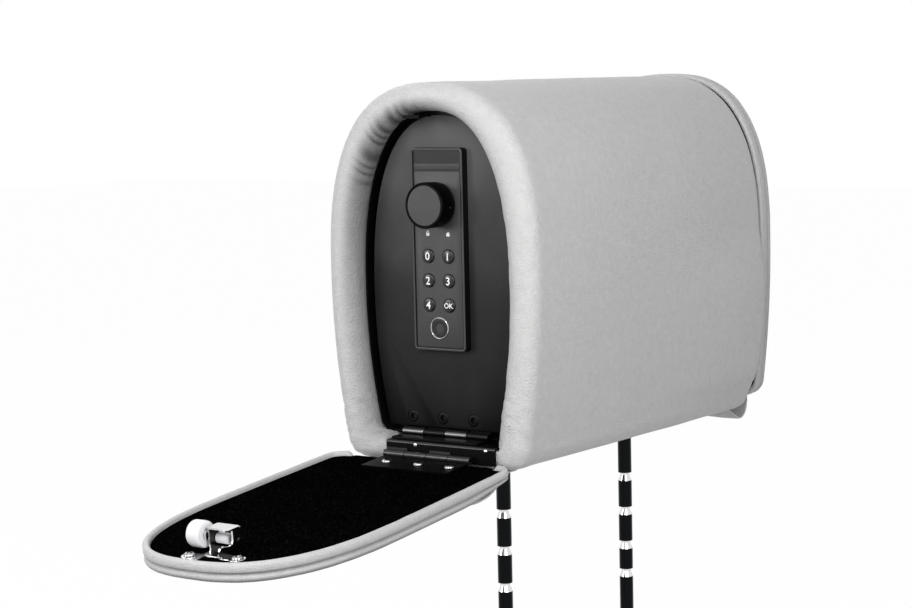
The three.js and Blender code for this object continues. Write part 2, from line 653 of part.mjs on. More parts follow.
function buildLock() {
  const wallBack = CASE_FACE - CASE_WALL;
  const keyHole = KEY_RADIUS + KEY_HOLE_CLEARANCE;
  const inner = 2 * (CASE_BORDER + SEAT_GAP);
  const sensorRadius = RING_RADIUS - RING_WALL - SEAT_GAP;
  const cutters = [
    roundedBlock(CASE_WIDTH - 2 * CASE_BORDER, CASE_HEIGHT - 2 * CASE_BORDER, CASE_CORNER - 1,
      front(CASE_DEPTH + 1), front(CASE_FACE), CASE_Z),
    roundedBlock(CASE_WIDTH - inner, CASE_HEIGHT - inner, 1.5, front(wallBack), front(-1), CASE_Z),
    rod('x', SPINDLE_RADIUS + SEAT_GAP, front(CASE_DEPTH + 1), front(-1), [0, KNOB_Z]),
    rod('x', sensorRadius + SEAT_GAP, front(CASE_DEPTH + 1), front(-1), [0, RING_Z]),
    roundedBlock(PORT_WIDTH, PORT_HEIGHT, 1.5, front(CASE_DEPTH + 1), front(-1), PORT_Z),
    ...keyPlaces().map((at) => rod('x', keyHole, front(CASE_DEPTH + 1), front(-1), at)),
  ];
  const block = roundedBlock(CASE_WIDTH, CASE_HEIGHT, CASE_CORNER, front(CASE_DEPTH), front(0.1), CASE_Z);
  put(body, 'lock_case', subtract(block, cutters), blackPlastic());

  const port = roundedBlock(PORT_WIDTH - 2 * SEAT_GAP, PORT_HEIGHT - 2 * SEAT_GAP, 1.3,
    front(CASE_FACE - 0.4), front(wallBack), PORT_Z);
  put(body, 'port_cover', port, blackPlastic());

  const flangeTop = wallBack - SEAT_GAP;
  const flangeBottom = flangeTop - KEY_FLANGE;
  const top = CASE_FACE + KEY_RISE;
  const keyProfile = [
    [0, front(top)],
    [KEY_RADIUS * 0.55, front(top - 0.12)],
    [KEY_RADIUS * 0.88, front(top - 0.5)],
    [KEY_RADIUS, front(top - 1.1)],
    [KEY_RADIUS, front(flangeTop)],
    [KEY_RADIUS + 1, front(flangeTop)],
    [KEY_RADIUS + 1, front(flangeBottom)],
    [0, front(flangeBottom)],
  ];
  keyPlaces().forEach(([y, z], i) => {
    put(body, KEY_NAMES[i], turnedAlongX(keyProfile, 16, y, z), blackPlastic());
  });

  const boardBack = flangeBottom - KEY_TRAVEL - 0.1 - BOARD;
  const board = box(
    [front(boardBack + BOARD), -CASE_WIDTH / 2 + 4, RING_Z - 8],
    [front(boardBack), CASE_WIDTH / 2 - 4, KEY_TOP_Z + 8],
  );
  put(body, 'circuit_board', board, greenBoard());

  const ring = [
    [RING_RADIUS - RING_WALL, front(CASE_FACE + 0.05)],
    [RING_RADIUS, front(CASE_FACE + 0.05)],
    [RING_RADIUS, front(CASE_FACE + 0.7)],
    [RING_RADIUS - RING_WALL / 2, front(CASE_FACE + 1)],
    [RING_RADIUS - RING_WALL, front(CASE_FACE + 0.7)],
    [RING_RADIUS - RING_WALL, front(CASE_FACE + 0.05)],
  ];
  put(body, 'fingerprint_ring', turnedAlongX(ring, 32, 0, RING_Z), chrome());
  const sensorBack = boardBack + BOARD + 0.2;
  const sensor = rod('x', sensorRadius, front(CASE_FACE + 0.3), front(sensorBack), [0, RING_Z], 28);
  put(body, 'fingerprint_sensor', sensor, blackPlastic());

  const base = CASE_FACE + SEAT_GAP;
  const face = base + KNOB_HEIGHT;
  const knob = [
    [0, front(face - 0.3)],
    [KNOB_RADIUS - 2, front(face - 0.3)],
    [KNOB_RADIUS - 1.6, front(face)],
    [KNOB_RADIUS - 0.6, front(face)],
    [KNOB_RADIUS, front(face - 0.8)],
    [KNOB_RADIUS - 0.5, front(base + 1)],
    [KNOB_RADIUS - 1, front(base)],
    [SPINDLE_RADIUS + 0.1, front(base)],
    [SPINDLE_RADIUS + 0.1, front(base + KNOB_BORE)],
    [0, front(base + KNOB_BORE)],
  ];
  put(body, 'knob', turnedAlongX(knob, 32, 0, KNOB_Z), blackPlastic());

  const pinAcross = CRANK_RADIUS * Math.SQRT1_2;
  const pin = [-pinAcross, KNOB_Z + pinAcross];
  const spindle = join([
    rod('x', SPINDLE_RADIUS, front(base + KNOB_BORE - SEAT_GAP), behind(1), [0, KNOB_Z]),
    rod('x', CRANK_RADIUS + 2.5, behind(CRANK_BACK), behind(CRANK_BACK + CRANK_THICKNESS), [0, KNOB_Z]),
    rod('x', CRANK_PIN, behind(1), behind(BOLT_BACK + BOLT_THICKNESS - 0.4), pin, 10),
  ]);
  put(body, 'spindle_crank', spindle, darkChrome());

  const boltZ = KNOB_Z + BOLT_RISE;
  const slotTop = CRANK_RADIUS + CRANK_PIN + 0.4;
  const bar = box(
    [behind(BOLT_BACK), BOLT_START, boltZ - BOLT_HEIGHT / 2],
    [behind(BOLT_BACK + BOLT_THICKNESS), BOLT_END, boltZ + BOLT_HEIGHT / 2],
  );
  const slotHalf = CRANK_PIN + 0.4;
  const slot = box(
    [behind(BOLT_BACK - 1), -pinAcross - slotHalf, KNOB_Z + pinAcross - slotHalf],
    [behind(BOLT_BACK + BOLT_THICKNESS + 1), -pinAcross + slotHalf, KNOB_Z + slotTop],
  );
  put(body, 'lock_bolt', subtract(bar, [slot]), chrome());

  const halfHeight = CASE_HEIGHT / 2 - 2;
  const outer = box(
    [behind(0), -HOUSING_WIDTH / 2, CASE_Z - halfHeight],
    [behind(HOUSING_DEPTH), HOUSING_WIDTH / 2, CASE_Z + halfHeight],
  );
  const wall = HOUSING_WALL;
  const hollow = box(
    [behind(-1), -HOUSING_WIDTH / 2 + wall, CASE_Z - halfHeight + wall],
    [behind(HOUSING_DEPTH - wall), HOUSING_WIDTH / 2 - wall, CASE_Z + halfHeight - wall],
  );
  const mouth = box(
    [behind(BOLT_BACK - SEAT_GAP), 0, boltZ - BOLT_HEIGHT / 2 - SEAT_GAP],
    [behind(BOLT_BACK + BOLT_THICKNESS + SEAT_GAP), HOUSING_WIDTH, boltZ + BOLT_HEIGHT / 2 + SEAT_GAP],
  );
  put(body, 'lock_housing', subtract(outer, [hollow, mouth]), blackPlastic());

  const batteryBack = behind(HOUSING_DEPTH - wall - SEAT_GAP);
  const batteryFloor = CASE_Z - halfHeight + wall + SEAT_GAP;
  const battery = box(
    [batteryBack - BATTERY.depth, -BATTERY.width / 2, batteryFloor],
    [batteryBack, BATTERY.width / 2, batteryFloor + BATTERY.height],
  );
  put(body, 'battery', battery, darkChrome());
}

// Strip of leather that hides a cover's hinge, as [x, z] points below the body
function buildFlap(parent, name, points) {
  put(parent, `${name}_hinge_flap`, strip(points, LEATHER, -FLAP_HALF, FLAP_HALF), leather());
}

// The soft outside of a cover: a thin bead, a smooth side, a piping and a crowned back
function coverSkin() {
  const stations = [{ x: -LINING_DEPTH, inset: LINING_INSET - SEAT_GAP }];
  const beadSteps = 5;
  for (let i = 0; i <= beadSteps; i += 1) {
    const angle = (Math.PI * i) / beadSteps;
    const x = BEAD_TOP - BEAD_RADIUS * (1 - Math.sin(angle));
    stations.push({ x, inset: BEAD_CENTRE + BEAD_RADIUS * Math.cos(angle) });
  }
  stations.push({ x: -SIDE_DEPTH, inset: 0.4 });
  stations.push({ x: -SEAM_DEPTH, inset: SEAM_INSET });
  const pipingSteps = 3;
  for (let i = 0; i <= pipingSteps; i += 1) {
    const angle = THREE.MathUtils.degToRad(140 + (110 * i) / pipingSteps);
    const inset = PIPING_CENTRE + PIPING_RADIUS * Math.cos(angle);
    stations.push({ x: -PIPING_DROP + PIPING_RADIUS * Math.sin(angle), inset });
  }
  const edge = PIPING_DROP + PIPING_RADIUS;
  const crown = COVER_CROWN - edge;
  stations.push({ x: -edge - crown * 0.2, inset: 6 });
  stations.push({ x: -edge - crown * 0.5, inset: 14 });
  stations.push({ x: -edge - crown * 0.86, inset: 14, scale: 0.62 });
  stations.push({ x: -COVER_CROWN, inset: 14, scale: 0.25 });
  return stations.map((station) => ({ ...station, egg: COVER_EGG }));
}

function buildCover(parent, name, angle) {
  const cover = new THREE.Group();
  cover.position.set(-(CREST + COVER_HINGE_OUT), 0, COVER_HINGE_Z);
  cover.rotation.y = -angle;
  parent.add(cover);
  const lower = (geometry) => geometry.translate(0, 0, -COVER_HINGE_Z);

  const beadHeight = COVER_FLOOR - COVER_HINGE_Z + LINING_INSET;
  const room = COVER_HINGE_RADIUS + 0.6;
  const flat = COVER_BOTTOM_FLAT;
  const cuts = [
    box([-FELT_TOP, -flat, -4], [8, flat, beadHeight]),
    box([-room, SILL_ENDS[0], -4], [8, SILL_ENDS[1] + 4, room]),
  ];
  put(cover, `${name}_cover_leather`, subtract(lower(eggSolid(coverSkin(), false)), cuts), leather());

  const lining = (from, to) =>
    lower(eggSolid([-to, -from].map((x) => ({ x, egg: COVER_EGG, inset: LINING_INSET })), false));
  put(cover, `${name}_cover_felt`, lining(FELT_TOP, FELT_TOP + FELT), felt());
  const panelTop = FELT_TOP + FELT + 0.1;
  put(cover, `${name}_cover_panel`, lining(panelTop, panelTop + PANEL), blackPlastic());

  const across = [HINGE_LOW + KNUCKLE_GAP, HINGE_HIGH - KNUCKLE_GAP];
  const plate = box([MOUNT_N, across[0], 1], [MOUNT_N + LEAF, across[1], LEAF_REACH]);
  const screwY = [-1, 0, 1].map((i) => LEAF_SCREW_SHIFT + i * LEAF_SCREW_PITCH);
  const screwHoles = screwY.map((y) => rod('x', SCREW_SHANK + 0.2, -4, 4, [y, LEAF_SCREW_H], 10));
  const leaf = hingeLeaf([0, 0], COVER_HINGE_RADIUS, 0, plate);
  put(cover, `${name}_cover_leaf`, subtract(leaf, screwHoles), blackSteel());
  put(cover, `${name}_hinge_pin`, hingePin([0, 0]), darkChrome());

  const bodyAxis = [-(CREST + COVER_HINGE_OUT), COVER_HINGE_Z];
  const leafOuter = -(LIP_X + SILL_THICKNESS + 0.1 + LEAF);
  const bodyPlate = box([leafOuter, across[0], COVER_HINGE_Z + 0.5],
    [leafOuter + LEAF, across[1], COVER_HINGE_Z + BODY_LEAF_REACH]);
  put(parent, `${name}_body_leaf`, hingeLeaf(bodyAxis, COVER_HINGE_RADIUS, 1, bodyPlate), blackSteel());
  return { cover, screwY };
}

// A flat piece on the felt: outline points are [across, height], thick from n to n + sheet
function flatPiece(points, n, sheet) {
  const shape = new THREE.Shape(points.map(([w, h]) => new THREE.Vector2(w, h)));
  const geometry = new THREE.ExtrudeGeometry(shape, { depth: sheet, bevelEnabled: false });
  return geometry.rotateX(Math.PI / 2).rotateZ(Math.PI / 2).translate(n, 0, 0);
}

// A bracket whose legs hold the pivot of a short arm with a nylon roller, as a cover carries it
function buildCatch(cover, name, withParts) {
  const sheet = CATCH_SHEET;
  const base = MOUNT_N;
  const [left, right] = CATCH_ENDS;
  const low = ROLLER_H - CATCH_LOW;
  const high = ROLLER_H + CATCH_HIGH;
  const foot = ROLLER_H + FOOT_REACH;
  const screws = EAR_SCREWS.map(([w, rise]) => [w, ROLLER_H + rise]);
  const [[nearW, nearH], [farW, farH]] = screws;
  const bridge = [
    [left, low], [right, low], [right, high], [left + 9, high], [left, high + CATCH_HOOD],
  ];
  const leg = [
    [base, low], [base, foot - 2], [base + FOOT_RISE, foot], [base + FOOT_RISE, ROLLER_H + LEG_HIGH],
    [CATCH_TOP, ROLLER_H + LEG_HIGH], [CATCH_TOP, low],
  ];
  const saddle = join([
    flatPiece(bridge, CATCH_TOP - sheet, sheet),
    profileAlongY(leg, left, left + sheet),
    box([base, right - sheet, low], [CATCH_TOP, right, high]),
    box([base, left, low], [base + sheet, right, foot - 2]),
    box([base, nearW, nearH - EAR_RADIUS], [base + sheet, left + sheet, nearH + EAR_RADIUS]),
    box([base, right - 4, farH - EAR_RADIUS], [base + sheet, farW, farH + EAR_RADIUS]),
    ...screws.map((at) => rod('x', EAR_RADIUS, base, base + sheet, at)),
  ]);
  const pivotHole = rod('y', AXLE_RADIUS + 0.15, left - 1, right + 1, [PIVOT_N, PIVOT_H], 10);
  const holes = screws.map((at) => rod('x', SCREW_SHANK + 0.2, base - 1, base + 3, at, 10));
  put(cover, `${name}_catch_bracket`, subtract(saddle, [pivotHole, ...holes]), chrome());

  const linkY = [ROLLER_W - ROLLER_LENGTH / 2 - SEAT_GAP - LINK, ROLLER_W + ROLLER_LENGTH / 2 + SEAT_GAP];
  const reach = new THREE.Vector2(ARM_OUT, ARM_RISE);
  const links = linkY.map((y) => {
    const bar = box([-LINK_RADIUS, y, 0], [LINK_RADIUS, y + LINK, reach.length()]);
    bar.rotateY(Math.atan2(reach.x, reach.y)).translate(PIVOT_N, 0, PIVOT_H);
    return join([
      bar,
      rod('y', LINK_RADIUS, y, y + LINK, [PIVOT_N, PIVOT_H]),
      rod('y', LINK_RADIUS, y, y + LINK, [ROLLER_N, ROLLER_H]),
    ]);
  });
  const armEnd = linkY[1] + LINK - 0.2;
  const arm = join([
    rod('y', AXLE_RADIUS, linkY[0] + 0.2, armEnd, [ROLLER_N, ROLLER_H], 12),
    rod('y', AXLE_RADIUS, left - 0.5, linkY[0] + 0.2, [PIVOT_N, PIVOT_H], 12),
    ...links,
  ]);
  put(cover, `${name}_catch_arm`, arm, chrome());

  const wheel = [
    [AXLE_RADIUS + 0.1, 0],
    [ROLLER_RADIUS - 1, 0],
    [ROLLER_RADIUS, 1],
    [ROLLER_RADIUS, ROLLER_LENGTH - 1],
    [ROLLER_RADIUS - 1, ROLLER_LENGTH],
    [AXLE_RADIUS + 0.1, ROLLER_LENGTH],
    [AXLE_RADIUS + 0.1, 0],
  ];
  const roller = turned(wheel, 20).translate(ROLLER_N, ROLLER_W - ROLLER_LENGTH / 2, ROLLER_H);
  put(cover, `${name}_catch_roller`, roller, whiteNylon());

  if (withParts) {
    const length = right - sheet - SEAT_GAP - SLEEVE_END;
    const tube = [
      [AXLE_RADIUS + 0.1, 0],
      [SLEEVE_RADIUS, 0],
      [SLEEVE_RADIUS, length],
      [AXLE_RADIUS + 0.1, length],
      [AXLE_RADIUS + 0.1, 0],
    ];
    const sleeve = turned(tube, 16).translate(PIVOT_N, SLEEVE_END, PIVOT_H);
    put(cover, `${name}_catch_sleeve`, sleeve, whiteNylon());
    screws.forEach(([y, h], i) => {
      put(cover, `${name}_catch_screw_${i + 1}`, panScrew(base + sheet + 0.05, y, h), chrome());
    });
  }
}

// The plate above the recess that the near cover's roller snaps behind
function buildStrike() {
  const [from, to] = [ROLLER_W - STRIKE_HALF, ROLLER_W + STRIKE_HALF];
  const lip = -(CREST - STRIKE_SET);
  const plate = join([
    box([lip, from, STRIKE_TOP - CATCH_SHEET], [lip + STRIKE_DEPTH, to, STRIKE_TOP]),
    box([lip - CATCH_SHEET, from, STRIKE_TOP - STRIKE_LIP], [lip + 0.1, to, STRIKE_TOP]),
  ]);
  put(body, 'near_strike_plate', plate, blackSteel());
}

function buildSides() {
  buildSill(body, 'near');
  const { cover, screwY } = buildCover(body, 'near', COVER_OPEN);
  screwY.forEach((y, i) => {
    const head = panScrew(MOUNT_N + LEAF + 0.05, y, LEAF_SCREW_H);
    put(cover, `near_leaf_screw_${i + 1}`, head, chrome());
  });
  buildCatch(cover, 'near', true);
  buildStrike();
  buildFlap(body, 'near', NEAR_FLAP);

  const far = new THREE.Group();
  far.rotation.z = Math.PI;
  body.add(far);
  buildSill(far, 'far');
  buildCatch(buildCover(far, 'far', COVER_SHUT).cover, 'far', false);
  buildFlap(far, 'far', FAR_FLAP);
}

function buildPosts() {
  const plateTop = BODY_BOTTOM_Z - PLATE_GAP;
  const plateBottom = plateTop - PLATE_THICKNESS;
  const headBottom = plateTop + SEAT_GAP;
  const outline = [
    [0, POST_BOTTOM_Z],
    [POST_RADIUS - 1, POST_BOTTOM_Z],
    [POST_RADIUS, POST_BOTTOM_Z + 1],
  ];
  [...NOTCH_Z].reverse().forEach((z) => {
    outline.push([POST_RADIUS, z - NOTCH_FLAT - NOTCH_RAMP]);
    outline.push([NOTCH_NECK, z - NOTCH_FLAT]);
    outline.push([NOTCH_NECK, z]);
    outline.push([POST_RADIUS, z]);
  });
  outline.push([POST_RADIUS, headBottom]);
  outline.push([POST_HEAD_RADIUS, headBottom]);
  outline.push([POST_HEAD_RADIUS, headBottom + POST_HEAD]);
  outline.push([POST_BOSS_RADIUS, headBottom + POST_HEAD]);
  outline.push([POST_BOSS_RADIUS, BODY_BOTTOM_Z + POST_BOSS_TOP]);
  outline.push([0, BODY_BOTTOM_Z + POST_BOSS_TOP]);
  const slots = [];
  [['left', -1], ['right', 1]].forEach(([side, sign]) => {
    const middle = (sign * POST_SPACING) / 2;
    const post = turned(outline, 16).rotateX(Math.PI / 2).translate(middle, 0, 0);
    put(safe, `${side}_post`, post, darkChrome());
    const half = POST_RADIUS + 0.4;
    const [low, high] = [plateBottom - 1, plateTop + 1];
    slots.push(box([middle - POST_SLIDE, -half, low], [middle + POST_SLIDE, half, high]));
    slots.push(rod('z', half, low, high, [middle - POST_SLIDE, 0], 24));
    slots.push(rod('z', half, low, high, [middle + POST_SLIDE, 0], 24));
  });
  const shape = roundedRectangle(2 * PLATE_HALF_LENGTH, 2 * PLATE_HALF_WIDTH, PLATE_CORNER);
  const options = { depth: PLATE_THICKNESS, bevelEnabled: false, curveSegments: 6 };
  const blank = new THREE.ExtrudeGeometry(shape, options).translate(0, 0, plateBottom);
  put(safe, 'base_plate', subtract(blank, slots), blackSteel());
}

buildBody();
buildDoor();
buildLock();
buildSides();
buildPosts();

export default safe;
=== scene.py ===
"""Looks of a padded car safe with its near cover folded down, in metres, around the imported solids.

Shapes are written in millimetres in the space of the body or of a cover, and placed by that space.
"""

import json
import math

import bmesh
import bpy
from mathutils import Matrix, Vector, noise


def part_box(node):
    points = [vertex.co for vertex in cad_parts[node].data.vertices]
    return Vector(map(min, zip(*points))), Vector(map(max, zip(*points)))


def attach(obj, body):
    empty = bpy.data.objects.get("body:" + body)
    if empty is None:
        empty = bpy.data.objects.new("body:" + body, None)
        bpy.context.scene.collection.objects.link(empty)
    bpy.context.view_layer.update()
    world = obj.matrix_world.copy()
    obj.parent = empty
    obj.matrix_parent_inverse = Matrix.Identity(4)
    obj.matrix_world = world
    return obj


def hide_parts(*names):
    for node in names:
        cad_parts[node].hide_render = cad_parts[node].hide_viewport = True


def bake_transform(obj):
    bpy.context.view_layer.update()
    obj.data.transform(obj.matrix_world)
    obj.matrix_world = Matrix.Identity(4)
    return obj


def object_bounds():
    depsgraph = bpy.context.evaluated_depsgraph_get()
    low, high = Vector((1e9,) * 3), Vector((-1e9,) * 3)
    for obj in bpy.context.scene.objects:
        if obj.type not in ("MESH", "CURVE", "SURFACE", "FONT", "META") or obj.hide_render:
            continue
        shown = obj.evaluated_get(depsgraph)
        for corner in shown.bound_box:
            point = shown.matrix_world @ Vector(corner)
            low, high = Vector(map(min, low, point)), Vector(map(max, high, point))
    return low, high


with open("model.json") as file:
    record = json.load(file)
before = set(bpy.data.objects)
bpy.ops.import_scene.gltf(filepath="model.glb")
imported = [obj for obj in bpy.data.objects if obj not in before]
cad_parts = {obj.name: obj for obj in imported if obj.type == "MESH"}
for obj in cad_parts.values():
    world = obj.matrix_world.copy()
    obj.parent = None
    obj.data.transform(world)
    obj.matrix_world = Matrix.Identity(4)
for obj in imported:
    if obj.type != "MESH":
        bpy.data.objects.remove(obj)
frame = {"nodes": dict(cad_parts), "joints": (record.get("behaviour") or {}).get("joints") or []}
CAD_BOX = [list(corner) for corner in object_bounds()]

# The body's driving sizes, read from the frame, in millimetres
LOW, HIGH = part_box("leather_cover")
CREST = HIGH[0] * 1000
EGG_HALF = (HIGH[1] - LOW[1]) * 500
EGG_HEIGHT = (HIGH[2] - LOW[2]) * 1000
BODY_Y = (HIGH[1] + LOW[1]) / 2
BODY_Z = LOW[2]
DOOR_FACE = -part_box("safe_door")[0][0] * 1000
DOOR_BACK = -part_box("safe_door")[1][0] * 1000

# Padded rim and its recess
RIM_WIDTH = 18.5
RIM_FLARE = 4.5
RIM_DEPTH = 10
LINED_DEPTH = 16.4
SHELL_OUTER = 15
SILL_ENDS = (-52, 34)
SILL_TOP = 14.7

# Outlines: half width, top and widest level above the underside, power of the upper half, draw-in of
# the lower flanks, bottom corner radius and level of the flat bottom
BODY_EGG = dict(half=EGG_HALF, top=EGG_HEIGHT, wide=128, power=2.5, taper=0.00083, corner=14, floor=0)
OPENING_EGG = dict(half=EGG_HALF - RIM_WIDTH - RIM_FLARE, top=EGG_HEIGHT - RIM_WIDTH, wide=112, power=2.4,
                   taper=0.0013, corner=7, floor=RIM_WIDTH)
DOOR_EGG = dict(OPENING_EGG, floor=18)
COVER_EGG = dict(half=EGG_HALF - 9.5, top=EGG_HEIGHT - 7, wide=128, power=2.6,
                 taper=0.0001, corner=14, floor=8.3)
FAR_COVER_EGG = dict(COVER_EGG, half=EGG_HALF - 1.5, top=EGG_HEIGHT + 1.5, taper=0.0006)
EGG_POINTS = 360

# Covers, in millimetres from the hinge axis; how far the far one's free edge swells, and how much
# thinner the near one gets at its corners beside the hinge
BEAD_RADIUS = 2
BEAD_TOP = 0.3
PIPING_RADIUS = 2.4
PIPING_DROP = 9.2
COVER_CROWN = 15.5
LINING_INSET = 4.5
FELT_TOP = 2.4
MOUNT = -2.3
FAR_SWELL = 2.8
NEAR_SLIM = 0.6

# Hinges along Y: four knuckles each, and small gaps between moving parts
KNUCKLE = 17.2
HINGE_LOW = -1.2 - 2 * KNUCKLE
BORE = 1.15
GAP = 0.3
HINGE_ENDS = (HINGE_LOW + GAP, HINGE_LOW + 4 * KNUCKLE - GAP)
LEAF = 1.2
COVER_BARREL = 2.5
DOOR_BARREL = 2.4

JOINTS = {joint["name"]: joint for joint in frame["joints"]}
HINGE = JOINTS["near_cover_hinge"]["pos_m"]
HINGE_OUT = -HINGE[0] * 1000 - CREST
COVER_LEAN = 0.5
COVER_OPEN = -JOINTS["near_cover_hinge"]["range_deg"][0] - COVER_LEAN
HINGE_Z = (HINGE[2] - BODY_Z) * 1000

MM = Matrix.Scale(0.001, 4)
WORLD = MM
BODY = Matrix.Translation((0, BODY_Y, BODY_Z)) @ MM
FAR_END = Matrix.Translation((0, BODY_Y, BODY_Z)) @ Matrix.Rotation(math.pi, 4, "Z") @ MM
HINGE_PLACE = Matrix.Translation((HINGE[0] * 1000, 0, HINGE_Z))
NEAR = BODY @ HINGE_PLACE @ Matrix.Rotation(math.radians(-COVER_OPEN), 4, "Y")
FAR = FAR_END @ HINGE_PLACE @ Matrix.Rotation(math.radians(COVER_LEAN), 4, "Y")

SHARP_ANGLE = 38


class Shape:
    """Vertices and faces of one piece, in millimetres."""

    def __init__(self):
        self.verts = []
        self.faces = []

    def add(self, verts, faces):
        base = len(self.verts)
        self.verts += [tuple(v) for v in verts]
        self.faces += [[i + base for i in face] for face in faces]
        return self

    def loft(self, loops, closed=False):
        """A skin through closed loops of as many points each, with flat ends unless closed."""
        count = len(loops[0])
        faces = []
        bands = len(loops) if closed else len(loops) - 1
        for k in range(bands):
            here, there = k * count, (k + 1) % len(loops) * count
            for i in range(count):
                j = (i + 1) % count
                faces.append([here + i, here + j, there + j, there + i])
        if not closed:
            faces.append(list(range(count)))
            faces.append([(len(loops) - 1) * count + i for i in range(count)])
        return self.add([p for loop in loops for p in loop], faces)

    def lathe(self, profile, centre, axis, segments):
        """A turned form: the profile is (radius, distance along the axis) and closes on the axis."""
        loops = []
        for radius, along in profile:
            loop = []
            for i in range(segments):
                turn = 2 * math.pi * i / segments
                a, b = max(radius, 0.001) * math.cos(turn), max(radius, 0.001) * math.sin(turn)
                offset = {"x": (along, a, b), "y": (a, along, b), "z": (a, b, along)}[axis]
                loop.append(tuple(c + o for c, o in zip(centre, offset)))
            loops.append(loop)
        return self.loft(loops)

    def ring(self, profile, centre, axis, segments):
        """A turned form with a hole: the profile closes on itself."""
        start = len(self.verts)
        self.lathe(profile, centre, axis, segments)
        del self.faces[-2:]
        last = start + (len(profile) - 1) * segments
        for i in range(segments):
            j = (i + 1) % segments
            self.faces.append([last + i, last + j, start + j, start + i])
        return self

    def block(self, low, high, bevel, segments=2):
        """A box with rounded edges."""
        mesh = bmesh.new()
        bmesh.ops.create_cube(mesh, size=1)
        for vert in mesh.verts:
            vert.co = [lo + (c + 0.5) * (hi - lo) for c, lo, hi in zip(vert.co, low, high)]
        bmesh.ops.bevel(mesh, geom=mesh.edges[:], offset=bevel, segments=segments, affect="EDGES")
        mesh.verts.index_update()
        verts = [tuple(v.co) for v in mesh.verts]
        faces = [[v.index for v in f.verts] for f in mesh.faces]
        mesh.free()
        return self.add(verts, faces)


def put(name, data):
    obj = bpy.data.objects.new(name, data)
    bpy.context.scene.collection.objects.link(obj)
    return obj


def solid_mesh(name, shape, space):
    """A mesh in metres with every face turned outward."""
    mesh = bpy.data.meshes.new(name)
    mesh.from_pydata(shape.verts, [], shape.faces)
    mesh.transform(space)
    work = bmesh.new()
    work.from_mesh(mesh)
    bmesh.ops.recalc_face_normals(work, faces=work.faces)
    work.to_mesh(mesh)
    work.free()
    return mesh


def piece(name, shape, space, body, finish, replaces=(), sharp=SHARP_ANGLE):
    """Turns a shape into an object that rides on a CAD body and stands for some of its nodes."""
    mesh = solid_mesh(name, shape, space)
    mesh.shade_smooth()
    mesh.set_sharp_from_angle(angle=math.radians(sharp))
    mesh.materials.append(finish)
    obj = put(name, mesh)
    if body:
        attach(obj, body)
    if replaces:
        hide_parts(*replaces)
    return obj


def second_finish(obj, finish, chosen):
    """Gives a second finish to the faces for which chosen is true."""
    obj.data.materials.append(finish)
    for face in obj.data.polygons:
        if chosen(face):
            face.material_index = 1


def cut(obj, shapes, space):
    """Takes the volume of each shape out of an object."""
    for shape in shapes:
        mesh = solid_mesh("cutter", shape, space)
        cutter = put("cutter", mesh)
        boolean = obj.modifiers.new("cut", "BOOLEAN")
        boolean.object = cutter
        boolean.operation = "DIFFERENCE"
        boolean.solver = "EXACT"
        apply_modifiers(obj)
        bpy.data.objects.remove(cutter)
        bpy.data.meshes.remove(mesh)
    obj.data.set_sharp_from_angle(angle=math.radians(SHARP_ANGLE))


def final_mesh(obj):
    """A new mesh of what an object's modifiers make of it."""
    bpy.context.view_layer.update()
    graph = bpy.context.evaluated_depsgraph_get()
    return bpy.data.meshes.new_from_object(obj.evaluated_get(graph))


def apply_modifiers(obj):
    old, obj.data = obj.data, final_mesh(obj)
    obj.modifiers.clear()
    bpy.data.meshes.remove(old)


# Materials


class Finish:
    """A principled material and short calls for the textures that feed it."""

    def __init__(self, name, color, roughness, metallic=0.0, **sockets):
        self.material = bpy.data.materials.new(name)
        self.material.use_nodes = True
        self.nodes = self.material.node_tree.nodes
        self.links = self.material.node_tree.links
        self.shader = self.nodes["Principled BSDF"]
        self.shader.inputs["Base Color"].default_value = (*color, 1)
        self.shader.inputs["Roughness"].default_value = roughness
        self.shader.inputs["Metallic"].default_value = metallic
        for socket, value in sockets.items():
            self.shader.inputs[socket.replace("_", " ")].default_value = value
        self.place = self.nodes.new("ShaderNodeTexCoord").outputs["Object"]

    def texture(self, kind, scale, **settings):
        node = self.nodes.new("ShaderNodeTex" + kind)
        node.inputs["Scale"].default_value = scale
        for key, value in settings.items():
            if key in node.inputs:
                node.inputs[key].default_value = value
            else:
                setattr(node, key, value)
        self.links.new(self.place, node.inputs["Vector"])
        return node.outputs[0]

    def ramp(self, source, stops):
        node = self.nodes.new("ShaderNodeValToRGB")
        elements = node.color_ramp.elements
        while len(elements) < len(stops):
            elements.new(0.5)
        for element, (position, color) in zip(elements, stops):
            element.position = position
            element.color = (*color, 1) if isinstance(color, tuple) else (color, color, color, 1)
        self.links.new(source, node.inputs["Fac"])
        return node.outputs["Color"]

    def math(self, operation, a, b):
        node = self.nodes.new("ShaderNodeMath")
        node.operation = operation
        for socket, value in zip(node.inputs, (a, b)):
            if isinstance(value, (int, float)):
                socket.default_value = value
            else:
                self.links.new(value, socket)
        return node.outputs[0]

    def mix(self, share, source, color):
        node = self.nodes.new("ShaderNodeMix")
        node.data_type = "RGBA"
        self.links.new(share, node.inputs["Factor"])
        self.links.new(source, node.inputs[6])
        node.inputs[7].default_value = (*color, 1)
        return node.outputs[2]

    def bump(self, height, distance, strength):
        node = self.nodes.new("ShaderNodeBump")
        node.inputs["Strength"].default_value = strength
        node.inputs["Distance"].default_value = distance
        self.links.new(height, node.inputs["Height"])
        previous = self.shader.inputs["Normal"]
        if previous.is_linked:
            self.links.new(previous.links[0].from_socket, node.inputs["Normal"])
        self.links.new(node.outputs["Normal"], previous)

    def feed(self, socket, source):
        self.links.new(source, self.shader.inputs[socket])


def grey(level):
    """The linear value of an sRGB grey from 0 to 255."""
    v = level / 255
    return v / 12.92 if v <= 0.04045 else ((v + 0.055) / 1.055) ** 2.4


def greys(*levels):
    """The linear colour of three sRGB levels, or of one level three times."""
    return tuple(grey(level) for level in levels) * (3 // len(levels))


